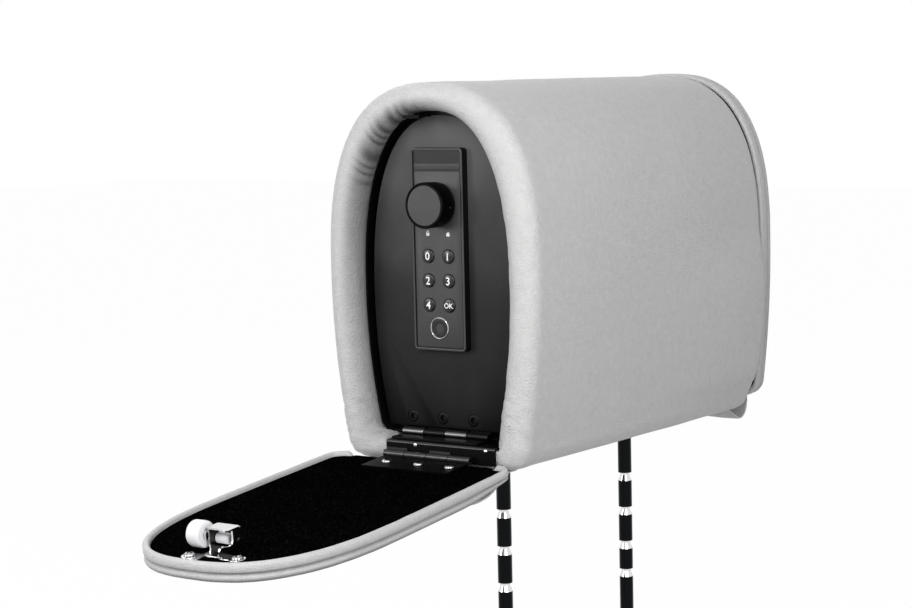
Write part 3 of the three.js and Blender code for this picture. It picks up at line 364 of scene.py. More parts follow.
def leather_finish():
    """Light grey artificial leather: a fine pebbled grain, a faint mottle, and painted shade that a mesh
    attribute lays on it.
    """
    f = Finish("grey_leather", greys(188), 0.46, Sheen_Weight=0.1, Specular_IOR_Level=0.35)
    mottle = f.texture("Noise", 210, Detail=6.0, Roughness=0.7)
    tone = f.ramp(mottle, [(0.3, greys(182, 181, 180)), (0.7, greys(194, 193, 192))])
    # Painted shade: a per-point attribute darkens the tone towards a dark grey.
    painted_shade = f.nodes.new("ShaderNodeAttribute")
    painted_shade.attribute_name = "painted_shade"
    f.feed("Base Color", f.mix(painted_shade.outputs["Fac"], tone, greys(42)))
    f.feed("Roughness", f.ramp(f.texture("Noise", 500, Detail=3.0), [(0.3, 0.40), (0.7, 0.54)]))
    grain = f.texture("Voronoi", 950, feature="SMOOTH_F1", Smoothness=0.4, Randomness=1.0)
    f.bump(grain, 0.00055, 0.7)
    f.bump(f.texture("Noise", 2600, Detail=2.0), 0.00015, 0.4)
    f.bump(f.texture("Noise", 220, Detail=4.0, Roughness=0.6), 0.0008, 0.35)
    return f.material


def felt_finish():
    """Black felt with a nap and a few pale fibres."""
    f = Finish("black_felt", greys(9), 1.0, Specular_IOR_Level=0.0)
    fibres = f.texture("Noise", 760, Detail=2.0, Roughness=0.7)
    lint = f.texture("Voronoi", 520, feature="F1", Randomness=1.0)
    speck = f.math("LESS_THAN", lint, 0.11)
    tone = f.ramp(fibres, [(0.42, grey(1)), (0.6, grey(6)), (0.74, grey(32))])
    f.feed("Base Color", f.mix(speck, tone, greys(58)))
    f.bump(fibres, 0.0006, 0.9)
    return f.material


ORANGE_PEEL = 0.00004


def paint_finish(name, level, roughness, gloss):
    """Satin paint on steel: a faint orange peel and a little variation in sheen."""
    f = Finish(name, greys(level), roughness, Specular_IOR_Level=gloss)
    cloud = f.texture("Noise", 24, Detail=4.0, Roughness=0.55)
    f.feed("Base Color", f.ramp(cloud, [(0.3, grey(level * 0.94)), (0.7, grey(level * 1.06))]))
    wear_and_shade = f.texture("Noise", 70, Detail=5.0)
    f.feed("Roughness", f.ramp(wear_and_shade, [(0.3, roughness - 0.05), (0.7, roughness + 0.06)]))
    f.bump(f.texture("Noise", 1400, Detail=2.0), ORANGE_PEEL, 0.6)
    return f.material


def door_finish():
    """The door's satin paint; its colour carries painted light and shade, lighter high up and near black low
    down where the lock and the hinge shade it.
    """
    low, high = 0.08, 0.29
    f = Finish("door_paint", greys(34), 0.42, Specular_IOR_Level=0.12)
    split = f.nodes.new("ShaderNodeSeparateXYZ")
    f.links.new(f.place, split.inputs[0])
    rise = f.math("DIVIDE", f.math("SUBTRACT", split.outputs["Z"], low), high - low)
    cloud = f.math("MULTIPLY", f.math("SUBTRACT", f.texture("Noise", 24, Detail=4.0), 0.5), 0.4)
    # Painted light and shade: near black at the bottom, light grey at the top.
    light = [(0.0, grey(4)), (0.45, grey(40)), (1.0, grey(86))]
    f.feed("Base Color", f.ramp(f.math("ADD", rise, cloud), light))
    f.bump(f.texture("Noise", 1400, Detail=2.0), ORANGE_PEEL, 0.6)
    return f.material


def metal_finish(name, color, roughness, scratch=0.05):
    """Polished plating, with fine wear in its gloss."""
    f = Finish(name, color, roughness, 1.0)
    wear_and_shade = f.texture("Noise", 160, Detail=6.0, Roughness=0.7)
    f.feed("Roughness", f.ramp(wear_and_shade, [(0.35, roughness), (0.75, roughness + scratch)]))
    f.bump(f.texture("Noise", 900, Detail=2.0), 0.00001, 0.4)
    return f.material


def plastic_finish(name, level, roughness, gloss=0.5):
    """Moulded plastic with a fine spark-eroded grain."""
    f = Finish(name, greys(level), roughness, Specular_IOR_Level=gloss)
    cloud = f.texture("Noise", 60, Detail=3.0)
    f.feed("Base Color", f.ramp(cloud, [(0.3, grey(level) * 0.93), (0.7, grey(level) * 1.07)]))
    f.bump(f.texture("Noise", 1800, Detail=2.0), 0.00005, 0.5)
    return f.material


def board_finish():
    """Green solder mask with fine copper tracks."""
    f = Finish("circuit_board", (0.01, 0.12, 0.035), 0.35)
    tracks = f.texture("Brick", 260)
    f.feed("Base Color", f.ramp(tracks, [(0.2, (0.008, 0.08, 0.02)), (0.8, (0.02, 0.2, 0.06))]))
    return f.material


LEATHER = leather_finish()
FELT = felt_finish()
DOOR_PAINT = door_finish()
BLACK_PAINT = paint_finish("black_paint", 6, 0.3, gloss=0.13)
FRAME_PAINT = paint_finish("frame_paint", 12, 0.5, gloss=0.2)
HINGE_STEEL = paint_finish("hinge_steel", 24, 0.3, gloss=0.5)
DULL_PAINT = paint_finish("dull_paint", 4, 0.4, gloss=0.05)
CHROME = metal_finish("bright_chrome", (0.72, 0.72, 0.73), 0.07)
SCREW_CHROME = metal_finish("screw_chrome", (0.42, 0.42, 0.43), 0.12)
DARK_CHROME = metal_finish("dark_chrome", (0.008, 0.0085, 0.009), 0.12)
CASE_PLASTIC = plastic_finish("case_plastic", 50, 0.4, gloss=0.35)
CASE_SIDE = plastic_finish("case_side", 6, 0.4, gloss=0.25)
KEY_PLASTIC = plastic_finish("key_plastic", 14, 0.26, gloss=0.4)
KNOB_METAL = metal_finish("knob_metal", (0.045, 0.045, 0.046), 0.36, 0.08)
KNOB_SIDE = plastic_finish("knob_side", 2, 0.4, gloss=0.05)
NYLON = plastic_finish("white_nylon", 226, 0.35)
INK = plastic_finish("white_ink", 236, 0.5)
SENSOR = plastic_finish("sensor_window", 32, 0.3, gloss=0.2)
BATTERY = metal_finish("battery_jacket", (0.1, 0.1, 0.12), 0.4)
BOARD = board_finish()
BARE_STEEL = metal_finish("bare_steel", (0.12, 0.12, 0.123), 0.3)
# Near black chrome for painted shade on the sides of the catch's sheets.
SHADED_CHROME = metal_finish("shaded_chrome", (0.05, 0.05, 0.051), 0.2)


# Outlines


def arc(x, y, radius, start, end, steps):
    """Points round (x, y) from one angle to another."""
    turns = (start + (end - start) * i / steps for i in range(steps + 1))
    return [(x + radius * math.cos(turn), y + radius * math.sin(turn)) for turn in turns]


def left_of(before, after):
    """Unit vector to the left of the way from one point to another."""
    x, y = after[0] - before[0], after[1] - before[1]
    length = math.hypot(x, y)
    return -y / length, x / length


def egg(form, inset=0.0, scale=1.0):
    """An outline drawn in by inset, as evenly spaced (y, z) points from the bottom middle."""
    wide, half = form["wide"], form["half"] - inset
    rise = form["top"] - inset - wide
    floor = form["floor"] + inset
    radius = max(form["corner"] - inset, 3)
    corner_z = floor + radius

    def flank(z):
        return half - form["taper"] * (wide - z) ** 2

    side = [(0.0, floor), *arc(flank(corner_z) - radius, corner_z, radius, -math.pi / 2, 0, 12)]
    for i in range(1, 24):
        z = corner_z + (wide - corner_z) * i / 24
        side.append((flank(z), z))
    for i in range(91):
        turn = math.pi / 2 * i / 90
        y = half * max(math.cos(turn), 0) ** (2 / form["power"])
        side.append((y, wide + rise * math.sin(turn) ** (2 / form["power"])))
    side[-1] = (0.0, side[-1][1])
    path = side + [(-y, z) for y, z in reversed(side[:-1])]
    lengths = [0.0]
    for (ay, az), (by, bz) in zip(path, path[1:]):
        lengths.append(lengths[-1] + math.hypot(by - ay, bz - az))
    points, k = [], 0
    for i in range(EGG_POINTS):
        goal = lengths[-1] * i / EGG_POINTS
        while lengths[k + 1] < goal:
            k += 1
        t = (goal - lengths[k]) / (lengths[k + 1] - lengths[k])
        y, z = (a + t * (b - a) for a, b in zip(path[k], path[k + 1]))
        points.append((y * scale, wide + (z - wide) * scale))
    return points


def mix_eggs(a, b, share):
    return {key: a[key] + (b[key] - a[key]) * share for key in a}


def egg_loops(stations, drop=0.0):
    """Loops at stations (x, outline, inset, scale), lowered by drop."""
    return [[(x, y, z - drop) for y, z in egg(form, *rest)] for x, form, *rest in stations]


def rounded_rectangle(width, height, radius, centre_z, inset=0.0):
    """A rounded rectangle in Y and Z round the body's middle, as (y, z) points."""
    radius = max(radius - inset, 0.2)
    w, h = width / 2 - inset - radius, height / 2 - inset - radius
    points = []
    for quarter, (sy, sz) in enumerate([(1, 1), (-1, 1), (-1, -1), (1, -1)]):
        turn = math.pi / 2 * quarter
        points += arc(sy * w, centre_z + sz * h, radius, turn, turn + math.pi / 2, 8)
    return points


def panel(width, height, radius, centre_z, levels):
    """A raised panel: levels are (distance in front of the door's face, inset) from back to front."""
    return Shape().loft([
        [(-(DOOR_FACE + out), y, z) for y, z in rounded_rectangle(width, height, radius, centre_z, inset)]
        for out, inset in levels
    ])


def turned(profile, y, z, segments, hole=False):
    """A turned form on the door: the profile is (radius, distance in front of the door's face)."""
    shape = Shape()
    turn = shape.ring if hole else shape.lathe
    return turn([(radius, -(DOOR_FACE + out)) for radius, out in profile], (0, y, z), "x", segments)


def ease(low, high, value):
    """0 below low and 1 above high, smooth between them."""
    t = min(max((value - low) / (high - low), 0.0), 1.0)
    return t * t * (3 - 2 * t)


# Leather of the body


def rim_round(side):
    """Stations (x, outline, share) over a padded rim; the share runs from 0 outside to 1 in the recess."""
    stations, steps = [], 16
    for i in range(steps + 1):
        turn = math.pi * i / steps
        share = (1 - math.cos(turn)) / 2
        x = side * (CREST - RIM_DEPTH + RIM_DEPTH * math.sin(turn))
        stations.append((x, mix_eggs(BODY_EGG, OPENING_EGG, share), share))
    return stations


def body_stations():
    reach = CREST - RIM_DEPTH
    straight = 74
    outside = [(-reach + 2 * reach * i / straight, BODY_EGG, 0.0) for i in range(1, straight)]
    near_wall = [(-reach + 0.9 * i, OPENING_EGG, 1.0) for i in range(1, 4)]
    far_wall = [(x, OPENING_EGG, 1.0) for x in (reach - 3, reach - 7, DOOR_BACK)]
    core = dict(BODY_EGG, half=EGG_HALF - SHELL_OUTER + 0.3, top=EGG_HEIGHT - SHELL_OUTER + 0.3,
                floor=SHELL_OUTER - 0.3, corner=3)
    end = DOOR_BACK - 0.3
    lining = mix_eggs(OPENING_EGG, BODY_EGG, 0.09)
    return (
        [(-end, core, 2.0), (-end, lining, 2.0), (-CREST + LINED_DEPTH, lining, 2.0)]
        + near_wall[::-1]
        + rim_round(-1)[::-1]
        + outside
        + rim_round(1)
        + far_wall
        + [(end, core, 2.0)]
    )


# The leather's folds fan out from a line at this level, so many of them in half a turn, and low down
# at the far end it lies so much wider
FOLD_CENTRE = 150
FOLDS = 34
SPREAD = 5.6


def fold(angle):
    """0 in a crease of the gathered leather and 1 between creases."""
    return abs(math.sin(angle * FOLDS + 2.2 * noise.noise(Vector((angle * 6, 0.3, 4.1)))))


def gathered(angle):
    """1 where the leather is drawn together round the tight upper corner of the recess."""
    return ease(0.4, 0.75, angle) * (1 - ease(1.25, 1.6, angle))


def pleats(x, y, z, share):
    """How far the leather stands out of its smooth form at a point of a rim, in millimetres."""
    near_crest = ease(CREST - 24, CREST - 6, abs(x))
    inner = ease(0.3, 0.85, share)
    angle = math.atan2(z - FOLD_CENTRE, y)
    gather = 0.2 + 0.8 * ease(0.1, 0.5, noise.noise(Vector((angle * 2.6, x * 0.006, 1.7))))
    upper = ease(55, 100, z - 110)
    rise = (fold(angle) ** 0.55 - 0.62) * (0.5 + 1.7 * gathered(angle)) * gather * upper * inner
    lower = (1 - ease(26, 70, z)) * ease(28, 50, abs(y))
    crease = noise.noise(Vector((y * 0.1, z * 0.17, x * 0.14)))
    rise += (abs(crease) ** 0.7 - 0.35) * 1.5 * lower * ease(CREST - 34, CREST - 12, abs(x))
    wall = inner * (1 - upper) * ease(40, 60, z)
    rise += (abs(noise.noise(Vector((angle * 5, z * 0.055, x * 0.13)))) ** 0.8 - 0.3) * 0.5 * wall
    return rise * near_crest


def under_sill(x, y, z):
    """A point of the lower rim once the steel sill presses it flat."""
    limit = SILL_TOP - 2.0
    along = y if x < 0 else -y
    first, last = SILL_ENDS
    inside = ease(first - 6, first - 0.5, along) * (1 - ease(last + 0.5, last + 6, along))
    if limit < z < RIM_WIDTH + 4 and inside > 0:
        return x, y, z + (limit - z) * inside
    return x, y, z


def painted_shade(x, y, z, share):
    """How much painted shade darkens the leather on the wall of a recess: on its side away from the lamps,
    more high up and in the creases of the gathered leather.
    """
    along = y if x < 0 else -y
    drawn = gathered(math.atan2(z - FOLD_CENTRE, along))
    crease = 0.5 * drawn * (1 - fold(math.atan2(z - FOLD_CENTRE, y))) ** 1.5
    wear_and_shade = min(0.38 + 0.32 * ease(60, 190, z) + crease, 0.92)
    return ease(0.4, 0.92, share) * ease(-30, 20, along) * wear_and_shade


def spread(x, z):
    """How much wider the padding lies low down towards the far end, in millimetres."""
    return SPREAD * ease(-20, 140, x) * ease(8, 32, z) * (1 - ease(84, 142, z))


def leather_piece(name, verts, shades, space, body, nodes, closed):
    """A padded piece of leather; its shades say how much painted shade darkens it at each point."""
    rows = len(verts) // EGG_POINTS
    shape = Shape().loft([verts[k * EGG_POINTS:(k + 1) * EGG_POINTS] for k in range(rows)], closed)
    obj = piece(name, shape, space, body, LEATHER, nodes, sharp=180)
    obj.data.attributes.new("painted_shade", "FLOAT", "POINT").data.foreach_set("value", shades)


def build_body_leather():
    stations = body_stations()
    loops = egg_loops([(x, form) for x, form, _ in stations])
    verts, shades = [], []
    for (x, _, share), loop in zip(stations, loops):
        for i, (_, y, z) in enumerate(loop):
            # Painted shade on the walls of the recess
            shades.append(painted_shade(x, y, z, share))
            if share > 1:
                verts.append(under_sill(x, y, z))
                continue
            in_y, in_z = left_of(loop[i - 1][1:], loop[(i + 1) % EGG_POINTS][1:])
            slope = 1 - 2 * share
            rise = pleats(x, y, z, share)
            wave = 0.5 * noise.noise(Vector((x * 0.018, y * 0.02, z * 0.02)))
            wave *= 1 - ease(CREST - 30, CREST - 12, abs(x))
            amount = rise * slope + wave
            depth = rise * math.sqrt(max(1 - slope * slope, 0)) * math.copysign(1, x)
            wide = y - in_y * amount + math.copysign(spread(x, z) * (1 - share), y)
            verts.append(under_sill(x + depth, wide, z - in_z * amount))
    leather_piece("body_leather", verts, shades, BODY, "body", ("leather_cover", "foam_core"), True)


def build_frame():
    """Sheet-steel frame behind the door and around the recess up to the leather; its black band between the
    leather and the door is partly the steel's own paint and partly painted shade.
    """
    back, front, outer = -DOOR_BACK, -CREST + LINED_DEPTH + 0.3, SHELL_OUTER + 1.5
    ring = [(back + 0.3, BODY_EGG, outer), (back + 3.3, BODY_EGG, outer)]
    ring += [
        (x, OPENING_EGG, inset)
        for x, inset in [(back + 3.3, 7), (back + 0.5, 7), (back + 0.3, 7.2), (back + 0.3, 0.3), (back, 0),
                         (front, 0), (front, -1.2), (back + 0.3, -1.2)]
    ]
    obj = piece("recess_frame", Shape().loft(egg_loops(ring), closed=True), BODY, "body", BLACK_PAINT,
                ("door_frame",))
    room = Shape().block((-CREST, SILL_ENDS[0] - 0.3, 5), (back, SILL_ENDS[1] + 0.3, 21), 0.1, 1)
    cut(obj, [room], BODY)


build_body_leather()
build_frame()


# Covers


def cover_stations(form):
    """Stations over a cover's leather: bead, smooth side, seam, piping and the crowned outside."""
    bead = arc(BEAD_RADIUS + 0.2, BEAD_TOP - BEAD_RADIUS, BEAD_RADIUS, 0, math.pi, 14)
    side = [(0.1, -2.9), (0.1, -4.1), (0.35, -5.0), (0.9, -5.6), (2.0, -6.0), (2.1, -6.5)]
    piping = arc(PIPING_RADIUS + 0.4, -PIPING_DROP, PIPING_RADIUS, math.radians(118), math.radians(250), 10)
    outside = [(3.2, -11.5), (4.4, -11.75), (6, -12.1), (8.5, -12.6), (11, -13.1), (14, -13.5)]
    points = [(LINING_INSET - 0.3, -5.8), *bead, *side, *piping, *outside]
    stations = [(n, form, inset) for inset, n in points]
    for i in range(1, 13):
        scale = 1 - i / 12.4
        crown = COVER_CROWN - (COVER_CROWN - 13.5) * scale**2
        stations.append((-crown, form, 14, scale))
    return stations


def hinge_notch(n, w, h):
    """Where the leather lies once it makes room for the hinge and the felt along a cover's bottom edge."""
    half, top, low = 56.5, 8.9, -FELT_TOP - 1.2
    inside = 1 - ease(half, half + 3, abs(w))
    if inside > 0 and h < top and n > low:
        return n + (low - n) * inside * (1 - ease(top - 2, top, h))
    return n


def build_cover_leather(name, space, body, node, form, swell, slim):
    """A cover's leather: its free edge swells, and its corners at the hinge get thinner by the share slim."""
    verts, shades = [], []
    stations = cover_stations(form)
    for loop, (_, _, inset, *_) in zip(egg_loops(stations, HINGE_Z), stations):
        for n, w, h in loop:
            soft = 0.18 * noise.noise(Vector((n * 0.2, w * 0.09, h * 0.09)))
            swing = noise.noise(Vector((5.0, w * 0.02, h * 0.02)))
            soft += 0.9 * swing * ease(10, 14, inset) * ease(12, 13.5, -n)
            rise = swell * ease(-2.9, -0.5, n) * ease(24, 70, h)
            rise -= min(n + 2.9, 0) * slim * (1 - ease(0, 62, h)) * ease(57, 66, abs(w))
            verts.append((hinge_notch(n + soft * 0.6 + rise, w, h), w * (1 - soft * 0.002), h))
            # Painted shade: darker below the bead, in the seam's groove and most on the piping's lower side,
            # which turns away from the light.
            inside = 1 - ease(11.6, 12.4, -n)
            seam = 0.3 * ease(5.2, 6.0, -n) * (1 - ease(6.8, 7.6, -n))
            under = 0.6 * ease(8.2, 11, -n) * inside
            shades.append(0.14 * ease(1.5, 4, -n) * inside + seam + under)
    leather_piece(name, verts, shades, space, body, (node,), False)


def build_felt(name, space, body, node, form):
    loops = []
    for n, inset in [(-3.4, 0), (-2.7, 0), (-2.5, 0.12), (-FELT_TOP, 0.5)]:
        loop = []
        for w, z in egg(form, LINING_INSET + inset):
            bottom = z < form["floor"] + LINING_INSET + inset + 0.3
            drop = 3.5 * (1 - ease(54, 57, abs(w))) if bottom else 0
            loop.append((n, w, z - HINGE_Z - drop))
        loops.append(loop)
    piece(name, Shape().loft(loops), space, body, FELT, (node,))


def build_flap(name, points, space, node):
    """The leather strip that hides a cover's hinge, bent between the body and the cover."""
    half, thick, rows = 56, 1.6, 44
    path = smooth_path(points, 60)
    loops = []
    for k, (x, z) in enumerate(path):
        nx, nz = left_of(path[max(k - 1, 0)], path[min(k + 1, len(path) - 1)])
        slack = math.sin(math.pi * k / (len(path) - 1))
        top, bottom = [], []
        for i in range(rows + 1):
            y = -half + 2 * half * i / rows
            wave = slack * 0.9 * noise.noise(Vector((x * 0.05, y * 0.05, 9.0)))
            edge = 1 - 0.35 * ease(half - 2, half, abs(y))
            for side, level in ((top, wave + thick / 2 * edge), (bottom, wave - thick / 2 * edge)):
                side.append((x + nx * level, y, z + nz * level))
        loops.append(top + bottom[::-1])
    obj = piece(name, Shape().loft(loops), space, None, LEATHER, (node,), sharp=60)
    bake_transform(obj)


def smooth_path(points, count):
    """Points on a smooth curve through a few (x, z) points, in count steps."""
    path = []
    ends = [points[0], *points, points[-1]]
    for k in range(count + 1):
        s = k / count * (len(points) - 1)
        i = min(int(s), len(points) - 2)
        t = s - i
        p0, p1, p2, p3 = ends[i:i + 4]
        path.append(tuple(
            0.5 * (2 * b + (c - a) * t + (2 * a - 5 * b + 4 * c - d) * t**2 + (3 * b - a - 3 * c + d) * t**3)
            for a, b, c, d in zip(p0, p1, p2, p3)
        ))
    return path


# Hinges and screws


def bar(radius, low, high, chamfer, bore=0):
    """Profile of a round bar or tube with chamfered ends."""
    return [(bore, low), (radius - chamfer, low), (radius, low + chamfer), (radius, high - chamfer),
            (radius - chamfer, high), (bore, high)]


def knuckles(axis, radius, first):
    """Rolled barrels of one hinge leaf along Y: of four, every second one from first on."""
    shape, gap = Shape(), 0.25
    for i in range(first, 4, 2):
        low, high = HINGE_LOW + i * KNUCKLE + gap, HINGE_LOW + (i + 1) * KNUCKLE - gap
        shape.ring(bar(radius, low, high, 0.25, BORE), (axis[0], 0, axis[1]), "y", 40)
    return shape


def add_tabs(shape, first, x, z, bevel):
    """Tabs from a leaf to each of its barrels; x and z are the tabs' ranges."""
    for i in range(first, 4, 2):
        low = HINGE_LOW + i * KNUCKLE + GAP
        shape.block((x[0], low, z[0]), (x[1], low + KNUCKLE - 2 * GAP, z[1]), bevel)


def build_cover_hinge(side, space, flip):
    cover, (left, right) = f"{side}_cover", HINGE_ENDS
    barrels = knuckles((0, 0), COVER_BARREL, 0)
    piece(f"{side}_cover_barrels", barrels, space, cover, HINGE_STEEL)
    leaf = Shape().block((MOUNT, left, 3.1), (MOUNT + LEAF, right, 27), 0.3)
    add_tabs(leaf, 0, (MOUNT, MOUNT + LEAF), (0.3, 3.6), 0.2)
    piece(f"{side}_cover_leaf_plate", leaf, space, cover, DULL_PAINT, (f"{side}_cover_leaf",))
    plate = knuckles((-(CREST + HINGE_OUT), HINGE_Z), COVER_BARREL, 1)
    outer = -(CREST + 3.0)
    add_tabs(plate, 1, (outer, outer + LEAF), (HINGE_Z + 0.5, HINGE_Z + 3.8), 0.25)
    piece(f"{side}_body_leaf_plate", plate, flip, "body", HINGE_STEEL, (f"{side}_body_leaf",))


def build_screw(name, space, body, base, y, z, turn, node):
    """A domed cross-head screw on a face at base."""
    radius, height, edge = 3.4, 2.1, 0.35
    profile = [(0, base - 1.1), (1.5, base - 1.1), (1.5, base), (radius - 0.1, base)]
    for i in range(9):
        a = math.pi / 2 * i / 9
        profile.append((radius * math.cos(a), base + edge + (height - edge) * math.sin(a)))
    profile.append((0, base + height))
    dome = Shape().lathe(profile, (0, y, z), "x", 40)
    screw = piece(name, dome, space, body, SCREW_CHROME, (node,))
    length, width, bottom = radius * 0.62, radius * 0.17, height * 0.3
    cross = []
    for a in (turn, turn + math.pi / 2):
        slit = Shape().block((base + bottom, -length, -width), (base + height + 1, length, width), 0.05, 1)
        c, s = math.cos(a), math.sin(a)
        slit.verts = [(n, y + v * c - w * s, z + v * s + w * c) for n, v, w in slit.verts]
        cross.append(slit)
    cut(screw, cross, space)
    middle = space @ Vector((base, y, z))
    normal = (space.to_3x3() @ Vector((1, 0, 0))).normalized()

    def in_cross(face):
        level = (face.center - middle).dot(normal) * 1000
        reach = ((face.center - middle) - normal * level / 1000).length * 1000
        wall = level > height * 0.25 and reach < radius * 0.64 and abs(face.normal.dot(normal)) < 0.3
        return wall or (abs(level - bottom) < 0.06 and reach < radius * 0.7)

    # Painted shade: the walls and floor of the cross's slots get the black paint.
    second_finish(screw, DULL_PAINT, in_cross)


def build_covers():
    for side, space, form, swell, slim in (
        ("near", NEAR, COVER_EGG, 0, NEAR_SLIM),
        ("far", FAR, FAR_COVER_EGG, FAR_SWELL, 0),
    ):
        cover = f"{side}_cover"
        build_cover_leather(f"{side}_padded_leather", space, cover, f"{cover}_leather", form, swell, slim)
        build_felt(f"{side}_felt_lining", space, cover, f"{cover}_felt", form)
        build_cover_hinge(side, space, BODY if side == "near" else FAR_END)
        build_catch(side, space)
    for i, y in enumerate((-29.3, -4.8, 20.4)):
        build_screw(f"near_hinge_screw_{i + 1}", NEAR, "near_cover", MOUNT + 1.25, y, 15, 0.3 + 0.7 * i,
                    f"near_leaf_screw_{i + 1}")
    near = [(-138, -1.3), (-149, -1.8), (-156, -5.2), (-163, -10),
            (-172, -13.6), (-182, -15.2), (-192, -15.2), (-199, -14)]
    far = [(-138, -1.3), (-149, -1.9), (-157, -6), (-166, -9.5),
           (-173.5, -6.5), (-177, 0.5), (-177, 8), (-175.6, 15)]
    build_flap("near_hinge_strip", near, BODY, "near_hinge_flap")
    build_flap("far_hinge_strip", far, FAR_END, "far_hinge_flap")


# Roller catch, in the space of a cover

SHEET = 1.2
ROLLER_N, ROLLER_H, ROLLER_W = 8, 210, 9
PIVOT_N, PIVOT_H = 5, 204.2
CATCH_LEFT, CATCH_RIGHT, CATCH_TOP = -15, 2.2, 13
CATCH_EARS = [(-24.2, ROLLER_H + 8), (7.5, ROLLER_H + 12.6)]


def sheet(section, w):
    """Loops of a sheet that stands across the hinge axis at w: section points are (n, h)."""
    return [[(n, y, h) for n, h in section] for y in (w, w + SHEET)]


def shaded_sides(obj, space):
    """Faces across the hinge axis, the sheets' sides and insides, get a near black chrome: painted shade."""
    across = (space.to_3x3() @ Vector((0, 1, 0))).normalized()
    second_finish(obj, SHADED_CHROME, lambda face: abs(face.normal.dot(across)) > 0.7)


def build_saddle(side, space):
    """The bracket: a hood on two legs, and two ears with a washer each."""
    left, right, base = CATCH_LEFT, CATCH_RIGHT, MOUNT + SHEET
    low, high, foot, corner = ROLLER_H - 8.2, ROLLER_H + 1.6, ROLLER_H + 11.8, 1.6
    hood = high + 2.4
    roof = [
        (left + corner, low), (right - 0.4, low), (right, low + 0.4), (right, high), (left + 9, high),
        (left + 6, hood - 0.8), (left + corner, hood), (left, hood - corner), (left, low + corner),
    ]
    bracket = Shape().loft([[(n, w, h) for w, h in roof] for n in (CATCH_TOP - SHEET, CATCH_TOP)])
    bracket.loft(sheet([
        (MOUNT, low), (MOUNT, foot - 2), (0, foot - 0.6), (3, foot), (4.5, foot - 1), (4.6, foot - 4),
        (3.6, 213), (4.2, 210.6), (6, 209.3), (CATCH_TOP - 0.5, 209.3), (CATCH_TOP - 0.5, low),
    ], left))
    bracket.block((MOUNT, right - SHEET, low), (CATCH_TOP - 0.3, right, high), 0.3)
    bracket.block((MOUNT, left, low), (base, right, foot - 2), 0.3)
    (near_w, near_h), (far_w, far_h) = CATCH_EARS
    bracket.block((MOUNT, near_w, near_h - 4.9), (base, left + 1, near_h + 3.8), 0.3)
    bracket.block((MOUNT, right - 4, far_h - 4.9), (base, far_w, far_h + 4.9), 0.3)
    washer = [(0, MOUNT), (4.9, MOUNT), (5, MOUNT + 0.15), (5, MOUNT + 1.05), (4.85, base), (0, base)]
    for w, h in CATCH_EARS:
        bracket.lathe(washer, (0, w, h), "x", 40)
    obj = piece(f"{side}_saddle_bracket", bracket, space, f"{side}_cover", CHROME,
                (f"{side}_catch_bracket",))
    bevel = obj.modifiers.new("edges", "BEVEL")
    bevel.width = 0.0002
    bevel.segments = 2
    bevel.limit_method = "ANGLE"
    apply_modifiers(obj)
    shaded_sides(obj, space)


def build_arm(side, space):
    """Two links between the pivot and the roller's axle, with both pins."""
    arm = Shape()
    for w in (ROLLER_W - 6.5, ROLLER_W + 5.3):
        arm.loft(sheet(link_outline(), w))
    arm.lathe(bar(1.5, ROLLER_W - 6.6, ROLLER_W + 6.6, 0.3), (ROLLER_N, 0, ROLLER_H), "y", 32)
    arm.lathe(bar(1.5, CATCH_LEFT - 0.5, ROLLER_W - 5.6, 0.3), (PIVOT_N, 0, PIVOT_H), "y", 32)
    obj = piece(f"{side}_roller_arm", arm, space, f"{side}_arm", CHROME, (f"{side}_catch_arm",))
    shaded_sides(obj, space)


def build_catch(side, space):
    build_saddle(side, space)
    build_arm(side, space)
    half = [(1.6, 4.6), (3.1, 4.6), (3.3, 5), (6.6, 5), (7.5, 4.65), (7.95, 3.7), (8, 2.6)]
    wheel = [(r, ROLLER_W - w) for r, w in half] + [(r, ROLLER_W + w) for r, w in reversed(half)]
    piece(f"{side}_nylon_roller", Shape().ring(wheel, (ROLLER_N, 0, ROLLER_H), "y", 72), space,
          f"{side}_roller", NYLON, (f"{side}_catch_roller",))
    if side == "near":
        start, end = -9.3, CATCH_RIGHT - SHEET - 0.3
        tube = [(1.6, start), (2.8, start), (3.2, start + 0.5), (3.2, end - 0.3), (2.9, end), (1.6, end)]
        piece("near_spacer_sleeve", Shape().ring(tube, (PIVOT_N, 0, PIVOT_H), "y", 48), space,
              "near_arm", NYLON, ("near_catch_sleeve",))
        for i, (w, h) in enumerate(CATCH_EARS):
            build_screw(f"near_bracket_screw_{i + 1}", space, "near_cover", MOUNT + SHEET + 0.05, w, h,
                        0.5 + i, f"near_catch_screw_{i + 1}")


def link_outline():
    """A flat link with round ends between the pivot and the roller's axle, as (n, h) points."""
    a = Vector((PIVOT_N, PIVOT_H))
    b = Vector((ROLLER_N, ROLLER_H))
    along = math.atan2(b.y - a.y, b.x - a.x)
    quarter = math.pi / 2
    return [
        *arc(*b, 3, along - quarter, along + quarter, 12),
        *arc(*a, 3, along + quarter, along + 3 * quarter, 12),
    ]


# Sill and door


def build_sill(side, space):
    """Bent sheet steel under the recess with a rounded nose and two rivets."""
    outer, inner, top, thick, nose = -(CREST + 1.7), -DOOR_BACK + 12.3, SILL_TOP, 1.5, 1.9
    section = [(outer, 3.0), (outer + thick, 3.0), (outer + thick, top - thick), (inner, top - thick),
               (inner, top), *arc(outer + nose, top - nose, nose, math.pi / 2, math.pi, 6)]
    shape = Shape().loft([[(x, y, z) for x, z in section] for y in SILL_ENDS])
    sill = piece(f"{side}_sill_plate", shape, space, "body", DULL_PAINT, (f"{side}_sill",))
    # Painted highlight: the nose gets the lighter, glossier hinge steel, a bright line along the bend.
    second_finish(sill, HINGE_STEEL, lambda face: abs(face.normal[0]) > 0.3 and face.normal[2] > 0.3)
    rivets = Shape()
    dome = [(0, outer + 0.4), (1.5, outer + 0.4), (1.5, outer), (1.35, outer - 0.45), (0.9, outer - 0.72),
            (0, outer - 0.8)]
    for y in (10.3, -45.2):
        rivets.lathe(dome, (0, y, top - 2.3), "x", 28)
    piece(f"{side}_sill_rivets", rivets, space, "body", CHROME)


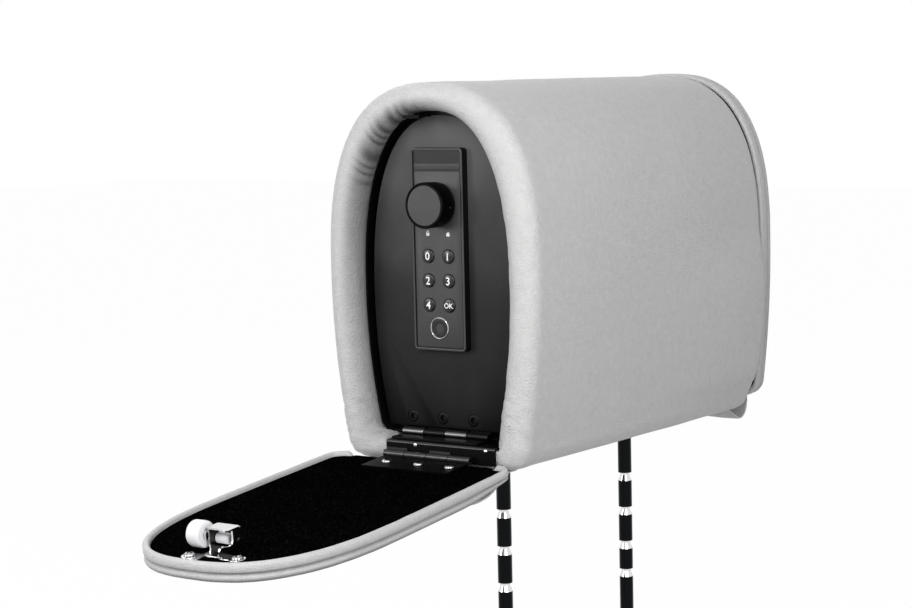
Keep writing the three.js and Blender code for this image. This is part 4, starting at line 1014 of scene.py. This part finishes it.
def build_door():
    levels = [(-DOOR_BACK, 0), (-DOOR_FACE + 0.6, 0), (-DOOR_FACE + 0.15, 0.15), (-DOOR_FACE, 0.6)]
    loops = egg_loops([(x, DOOR_EGG, 3 + more) for x, more in levels])
    door = piece("door_plate", Shape().loft(loops), BODY, "door", DOOR_PAINT, ("safe_door",))
    hole = [(0, 1), (4.45, 1), (4.2, -0.15), (4.15, -2.1), (0, -2.1)]
    cutters = [turned(hole, y, DOOR_SCREW_Z, 48) for y in DOOR_SCREW_Y]
    cutters.append(turned([(0, 1), (4.3, 1), (4.3, -6), (0, -6)], 0, KNOB_Z, 40))
    cut(door, cutters, BODY)
    head = [(0, -3.9), (2, -3.9), (2, -2), (3.9, -2), (4, -0.3), (3.75, 0), (3.3, 0.12), (0, 0.12)]
    socket = [(0, 1), (2.2, 1), (2.2, -1.5), (0, -1.5)]
    for i, y in enumerate(DOOR_SCREW_Y):
        screw = piece(f"door_socket_screw_{i + 1}", turned(head, y, DOOR_SCREW_Z, 48), BODY, "door",
                      BLACK_PAINT, (f"door_screw_{i + 1}",))
        cut(screw, [turned(socket, y, DOOR_SCREW_Z, 6)], BODY)

    (x, z), (left, right) = (-(DOOR_FACE + 2.9), 17.85), HINGE_ENDS
    inner, plate_z, leaf_z = -(DOOR_FACE - 3), (15.0, 16.2), (19.5, 20.7)
    leaf = Shape()
    add_tabs(leaf, 1, (x, inner), leaf_z, 0.2)
    leaf.block((-(DOOR_FACE + 0.2), left, leaf_z[0]), (inner, right, leaf_z[1]), 0.2)
    piece("door_leaf", leaf, BODY, "door", BLACK_PAINT, ("door_hinge_leaf",))
    barrels = knuckles((x, z), DOOR_BARREL, 1)
    piece("door_leaf_barrels", barrels, BODY, "door", BARE_STEEL)
    plate = knuckles((x, z), DOOR_BARREL, 0)
    plate.block((x - 14.5, left, plate_z[0]), (x - 3, right, plate_z[1]), 0.3)
    add_tabs(plate, 0, (x - 4, x), plate_z, 0.2)
    piece("frame_leaf", plate, BODY, "body", BLACK_PAINT, ("frame_hinge_leaf",))


# Lock

CASE_Z, CASE_WIDTH, CASE_HEIGHT = 139.3, 41.2, 132.4
DOOR_SCREW_Y = (-21, 3.2, 27.4)
DOOR_SCREW_Z = 27.6
KNOB_Z = 168.8
RING_Z = 88
WINDOW_Z = 199.2
PANEL_TOP, SURROUND_LOW = 190.2, 191.4
KEY_Y, KEY_TOP, KEY_PITCH = 7.95, 135, 16
FACE = 5.2
PANEL_FACE = FACE + 0.25
BORDER = 1.7
BORDER_RISE = 5.6
SIGN_RISE = 0.06


def build_case():
    """Case with a thin raised border; the sunk face holds a window in its surround and the key panel."""
    levels = [(0.1, 0), (5.3, 0), (5.75, 0.15), (6.0, 0.55), (6.0, BORDER - 0.45),
              (5.85, BORDER - 0.1), (FACE, BORDER)]
    case = panel(CASE_WIDTH, CASE_HEIGHT, 3, CASE_Z, levels)
    obj = piece("lock_housing_front", case, BODY, "door", CASE_PLASTIC, ("lock_case",))
    second_finish(obj, CASE_SIDE, lambda face: -face.center[0] * 1000 - DOOR_FACE < BORDER_RISE)

    margin = BORDER + 0.7
    low_end, high_end = CASE_Z - CASE_HEIGHT / 2 + margin, CASE_Z + CASE_HEIGHT / 2 - margin
    parts = []
    for name, low, high in (
        ("key_panel", low_end, PANEL_TOP),
        ("window_surround", SURROUND_LOW, high_end),
    ):
        raised = panel(CASE_WIDTH - 2 * margin, high - low, 2, (high + low) / 2,
                       [(FACE - 0.1, 0), (FACE + 0.1, 0), (PANEL_FACE, 0.35)])
        parts.append(piece(name, raised, BODY, "door", CASE_PLASTIC))
    outline = rounded_rectangle(35.8, 8.2, 1.2, WINDOW_Z)
    depths = (-(DOOR_FACE + FACE - 0.05), -(DOOR_FACE + FACE + 2))
    opening = Shape().loft([[(x, y, z) for y, z in outline] for x in depths])
    hole = [(0, FACE + 2), (4.95, FACE + 2), (4.95, FACE + 0.02), (0, FACE + 0.02)]
    key_panel, surround = parts
    cut(key_panel, [turned(hole, y, z, 40) for y, z in key_places()], BODY)
    cut(surround, [opening], BODY)
    window = panel(35.6, 8.0, 1.1, WINDOW_Z, [(3.2, 0), (4.9, 0), (5.05, 0.25)])
    piece("window_pane", window, BODY, "port_cover", SENSOR, ("port_cover",))


def key_places():
    return [(side * KEY_Y, KEY_TOP - row * KEY_PITCH) for row in range(3) for side in (1, -1)]


KEY_NODES = ["key_0", "key_1", "key_2", "key_3", "key_4", "key_ok"]
KEY_DOME = [(4.6, 5.85), (4.5, 6.12), (4.2, 6.32), (3.6, 6.48), (2.6, 6.6), (1.4, 6.66), (0, 6.68)]


def dome_height(radius):
    """Height of a key's dome at a distance from its middle."""
    for (outer, low), (inner, high) in zip(KEY_DOME, KEY_DOME[1:]):
        if radius >= inner:
            t = (outer - radius) / (outer - inner)
            return low + max(t, 0) * (high - low)
    return KEY_DOME[-1][1]


def build_keys():
    for node, (y, z) in zip(KEY_NODES, key_places()):
        cap = turned([(0, 2.2), (5.6, 2.2), (5.6, 3.1), (4.6, 3.1), *KEY_DOME], y, z, 48)
        piece(f"{node}_cap", cap, BODY, node, KEY_PLASTIC, (node,))
        label = node.split("_")[1].upper()
        write(f"{node}_legend", label, 5.0 if len(label) == 1 else 3.3, y, z, node)


def write(name, text, height, y, z, body):
    """Bold white characters that follow a key's dome."""
    curve = bpy.data.curves.new(name, "FONT")
    curve.body = text
    curve.size = height * 1.45
    curve.align_x = "CENTER"
    curve.offset = 0.012 * height
    curve.resolution_u = 6
    letters = put("letters", curve)
    flat = final_mesh(letters)
    bpy.data.objects.remove(letters)
    work = bmesh.new()
    work.from_mesh(flat)
    bmesh.ops.subdivide_edges(work, edges=[e for e in work.edges if e.calc_length() > 0.6], cuts=2)
    bmesh.ops.triangulate(work, faces=work.faces)
    work.verts.index_update()
    heights = [v.co.y for v in work.verts]
    middle = (max(heights) + min(heights)) / 2
    front, back = [], []
    for v in work.verts:
        across, up = -v.co.x, v.co.y - middle
        out = DOOR_FACE + dome_height(math.hypot(across, up))
        front.append((-(out + SIGN_RISE), y + across, z + up))
        back.append((-(out - 0.1), y + across, z + up))
    count = len(front)
    faces = [[v.index for v in f.verts] for f in work.faces]
    rims = [[v.index for v in e.verts] for e in work.edges if len(e.link_faces) == 1]
    sides = [[a, b, b + count, a + count] for a, b in rims]
    work.free()
    shape = Shape().add(front + back, faces + [[i + count for i in reversed(f)] for f in faces] + sides)
    piece(name, shape, BODY, body, INK, sharp=30)


def build_padlocks():
    """Closed and open padlock signs below the knob: a block and a bow that turns about its left foot."""
    front, foot, radius, thin = -(DOOR_FACE + PANEL_FACE + SIGN_RISE), 150.2, 0.75, 0.22
    for name, y, turn in (("closed_padlock_sign", 8.0, 0.0), ("open_padlock_sign", -8.0, 1.3)):
        shape = Shape()
        shape.block((front, y - 1.25, 148.2), (front + 0.1, y + 1.25, foot), 0.03, 1)
        c, s = math.cos(turn), math.sin(turn)
        bow = []
        for a, b in [(radius, -0.1), *arc(0, 0.55, radius, 0, math.pi, 12), (-radius, -0.1)]:
            a += radius
            bow.append((y - radius + a * c + b * s * 0.4, foot + b * c * 0.4 + b * 0.6 - a * s * 0.5))
        loops = []
        for k, (a, b) in enumerate(bow):
            left_y, left_z = left_of(bow[max(k - 1, 0)], bow[min(k + 1, len(bow) - 1)])
            outer, inner = (a + left_y * thin, b + left_z * thin), (a - left_y * thin, b - left_z * thin)
            loops.append([(front, *outer), (front, *inner), (front + 0.1, *inner), (front + 0.1, *outer)])
        shape.loft(loops)
        piece(name, shape, BODY, "door", INK)


def build_knob():
    base, top = FACE + 0.35, 20.5
    side = [(4.2, 14.5), (4.2, base), (13.9, base), (14.4, base + 0.5), (14.8, base + 3),
            (15, top - 1.0), (14.85, top - 0.4), (14.45, top), (13.7, top), (13.4, top - 0.35),
            (13.1, top - 0.35), (4.2, top - 2.5)]
    grip = turned(side, 0, KNOB_Z, 112, hole=True)
    piece("knob_grip", grip, BODY, "knob_and_crank", KNOB_SIDE, ("knob",))
    disc = [(0, top - 2), (13.05, top - 2), (13.05, top - 0.42), (12.9, top - 0.3), (0, top - 0.3)]
    piece("knob_face", turned(disc, 0, KNOB_Z, 112), BODY, "knob_and_crank", KNOB_METAL)
    angle, reach, out = math.radians(-174), 14.45, 11.5
    y, z = math.cos(angle), math.sin(angle)
    socket = [(0, 0), (0.9, 0), (0.9, 0.5), (0.45, 0.5), (0.45, 0.1), (0, 0.1)]
    screw = Shape().lathe(socket, (0, 0, 0), "z", 24)
    screw.verts = [
        (-(DOOR_FACE + out) + a, (reach + c) * y - b * z, KNOB_Z + (reach + c) * z + b * y)
        for a, b, c in screw.verts
    ]
    piece("knob_set_screw", screw, BODY, "knob_and_crank", CHROME)


def build_sensor():
    ring = [(6.45, 5.25), (7.2, 5.25), (7.2, 5.75), (7.05, 6.05), (6.8, 6.15), (6.55, 6.05), (6.45, 5.8)]
    bezel = turned(ring, 0, RING_Z, 96, hole=True)
    piece("sensor_bezel", bezel, BODY, "door", CHROME, ("fingerprint_ring",))
    glass = [(0, 2.1), (6.1, 2.1), (6.1, 5.5), (5.8, 5.62), (4.5, 5.55), (2.5, 5.42), (0, 5.36)]
    window = turned(glass, 0, RING_Z, 96)
    piece("sensor_window", window, BODY, "door", SENSOR, ("fingerprint_sensor",))


# Posts

NOTCHES = (18.5, -6.9, -32.3, -53.3)
POST_X = 80
POST_TOP = 69


def build_posts():
    """Round posts with tapered notches and a flange under the body: near black chrome on the shafts and
    bright chrome in the notches, a painted reflection of a dark room on the shafts and of bright light in the
    notches.
    """
    low, high = CAD_BOX[0][2] * 1000, POST_TOP
    profile = [(0, low), (3.9, low), (4.7, low + 0.4), (5, low + 1.2)]
    for z in reversed(NOTCHES):
        profile += [(5, z - 6.1), (4.93, z - 5.8), (3.4, z - 1.9), (3.35, z - 1.7), (3.35, z - 0.1), (4.8, z),
                    (5, z + 0.2)]
    profile += [(5, 59.9), (9.8, 59.9), (10, 60.1), (10, 62.7), (9.8, 62.9), (7, 62.9), (7, high - 0.3),
                (6.7, high), (0, high)]

    def in_notch(face):
        return any(z - 5.7 < face.center[2] * 1000 < z + 0.02 for z in NOTCHES)

    for side, x in (("left", -POST_X), ("right", POST_X)):
        form, name = Shape().lathe(profile, (x, 0, 0), "z", 72), f"{side}_post"
        post = piece(f"{side}_notched_post", form, WORLD, name, DARK_CHROME, (name,))
        # Painted reflection: bright chrome on the notch faces, near black chrome on the shafts.
        second_finish(post, CHROME, in_notch)


def dress_frame():
    """Finishes of the CAD nodes that stay as they are."""
    finishes = {
        FRAME_PAINT: ("safe_shell", "back_plate"),
        BLACK_PAINT: ("base_plate",),
        CASE_SIDE: ("near_cover_panel", "far_cover_panel", "lock_housing"),
        # The strike plate is near black: painted shade at the top of the recess.
        DULL_PAINT: ("near_strike_plate",),
        CHROME: ("lock_bolt", "spindle_crank"),
        DARK_CHROME: ("near_hinge_pin", "far_hinge_pin", "door_hinge_pin"),
        BOARD: ("circuit_board",),
        BATTERY: ("battery",),
    }
    for finish, names in finishes.items():
        for name in names:
            for slot in frame["nodes"][name].material_slots:
                slot.material = finish


build_covers()
for side_name, side_space in (("near", BODY), ("far", FAR_END)):
    build_sill(side_name, side_space)
build_door()
build_case()
build_keys()
build_padlocks()
build_knob()
build_sensor()
build_posts()
dress_frame()


# Stage


def build_camera():
    """The photograph's view: a long lens a metre and a half away, a little above the safe's top."""
    place = Vector((-1.3278, -0.8437, 0.3116))
    yaw, pitch, roll = (math.radians(a) for a in (35.18, 5.79, -1.291))
    forward = Vector((math.cos(yaw) * math.cos(pitch), math.sin(yaw) * math.cos(pitch), -math.sin(pitch)))
    level = Vector((math.sin(yaw), -math.cos(yaw), 0))
    upright = level.cross(forward)
    right = level * math.cos(roll) + upright * math.sin(roll)
    up = upright * math.cos(roll) - level * math.sin(roll)
    turn = Matrix((right, up, -forward)).transposed().to_4x4()
    data = bpy.data.cameras.new("camera")
    data.sensor_width = 36
    data.lens = 88.87
    data.clip_end = 50
    camera = put("camera", data)
    camera.matrix_world = Matrix.Translation(place) @ turn
    bpy.context.scene.camera = camera


def background_mix(tree, lit, white):
    """Joins a lit shader with a white one for camera, glossy and transmission rays."""
    path = tree.nodes.new("ShaderNodeLightPath")
    total = path.outputs["Is Camera Ray"]
    for name in ("Is Glossy Ray", "Is Transmission Ray"):
        add = tree.nodes.new("ShaderNodeMath")
        add.operation = "MAXIMUM"
        tree.links.new(total, add.inputs[0])
        tree.links.new(path.outputs[name], add.inputs[1])
        total = add.outputs[0]
    mix = tree.nodes.new("ShaderNodeMixShader")
    tree.links.new(total, mix.inputs[0])
    tree.links.new(lit, mix.inputs[1])
    tree.links.new(white, mix.inputs[2])
    return mix.outputs[0]


def build_world():
    world = bpy.data.worlds.new("studio")
    world.use_nodes = True
    bpy.context.scene.world = world
    tree = world.node_tree
    soft = tree.nodes["Background"]
    soft.inputs["Color"].default_value = (0.9, 0.93, 1, 1)
    soft.inputs["Strength"].default_value = 0.34
    white = tree.nodes.new("ShaderNodeBackground")
    white.inputs["Color"].default_value = (1, 1, 1, 1)
    output = tree.nodes["World Output"]
    tree.links.new(background_mix(tree, soft.outputs[0], white.outputs[0]), output.inputs["Surface"])


def build_floor():
    """A pale floor below the posts, white where the camera sees it lit, with the safe's faint shadow."""
    level, half = CAD_BOX[0][2] * 1000 - 1, 6000
    shape = Shape().block((-half, -half, level - 20), (half, half, level), 2)
    f = Finish("floor", (0.45, 0.45, 0.45), 0.9)
    pale = f.nodes.new("ShaderNodeBsdfDiffuse")
    pale.inputs["Color"].default_value = (0.95, 0.95, 0.95, 1)
    glow = f.nodes.new("ShaderNodeEmission")
    share = f.nodes.new("ShaderNodeMixShader")
    share.inputs[0].default_value = 0.98
    f.links.new(pale.outputs[0], share.inputs[1])
    f.links.new(glow.outputs[0], share.inputs[2])
    output = f.nodes["Material Output"]
    mixed = background_mix(f.material.node_tree, f.shader.outputs[0], share.outputs[0])
    f.links.new(mixed, output.inputs["Surface"])
    floor = piece("floor", shape, WORLD, None, f.material)


def area_light(name, place, target, size, power):
    data = bpy.data.lights.new(name, "AREA")
    data.shape = "RECTANGLE"
    data.size, data.size_y = size
    data.energy = power
    light = put(name, data)
    light.location = place
    light.rotation_mode = "QUATERNION"
    light.rotation_quaternion = (Vector(target) - Vector(place)).to_track_quat("-Z", "Y")


build_camera()
build_world()
build_floor()
area_light("key", (-1.45, -0.3, 0.95), (-0.12, 0, 0.2), (0.8, 0.8), 15.5)
area_light("fill", (-0.54, -0.78, 0.42), (-0.06, 0, 0.16), (0.45, 0.4), 4.1)
area_light("rim", (0.6, 1.2, 1.2), (0, 0, 0.2), (1.0, 0.8), 6)
area_light("door", (-1.1, 0.72, 0.42), (-0.14, 0, 0.24), (0.4, 0.4), 4)
bpy.context.scene.view_settings.view_transform = "Standard"
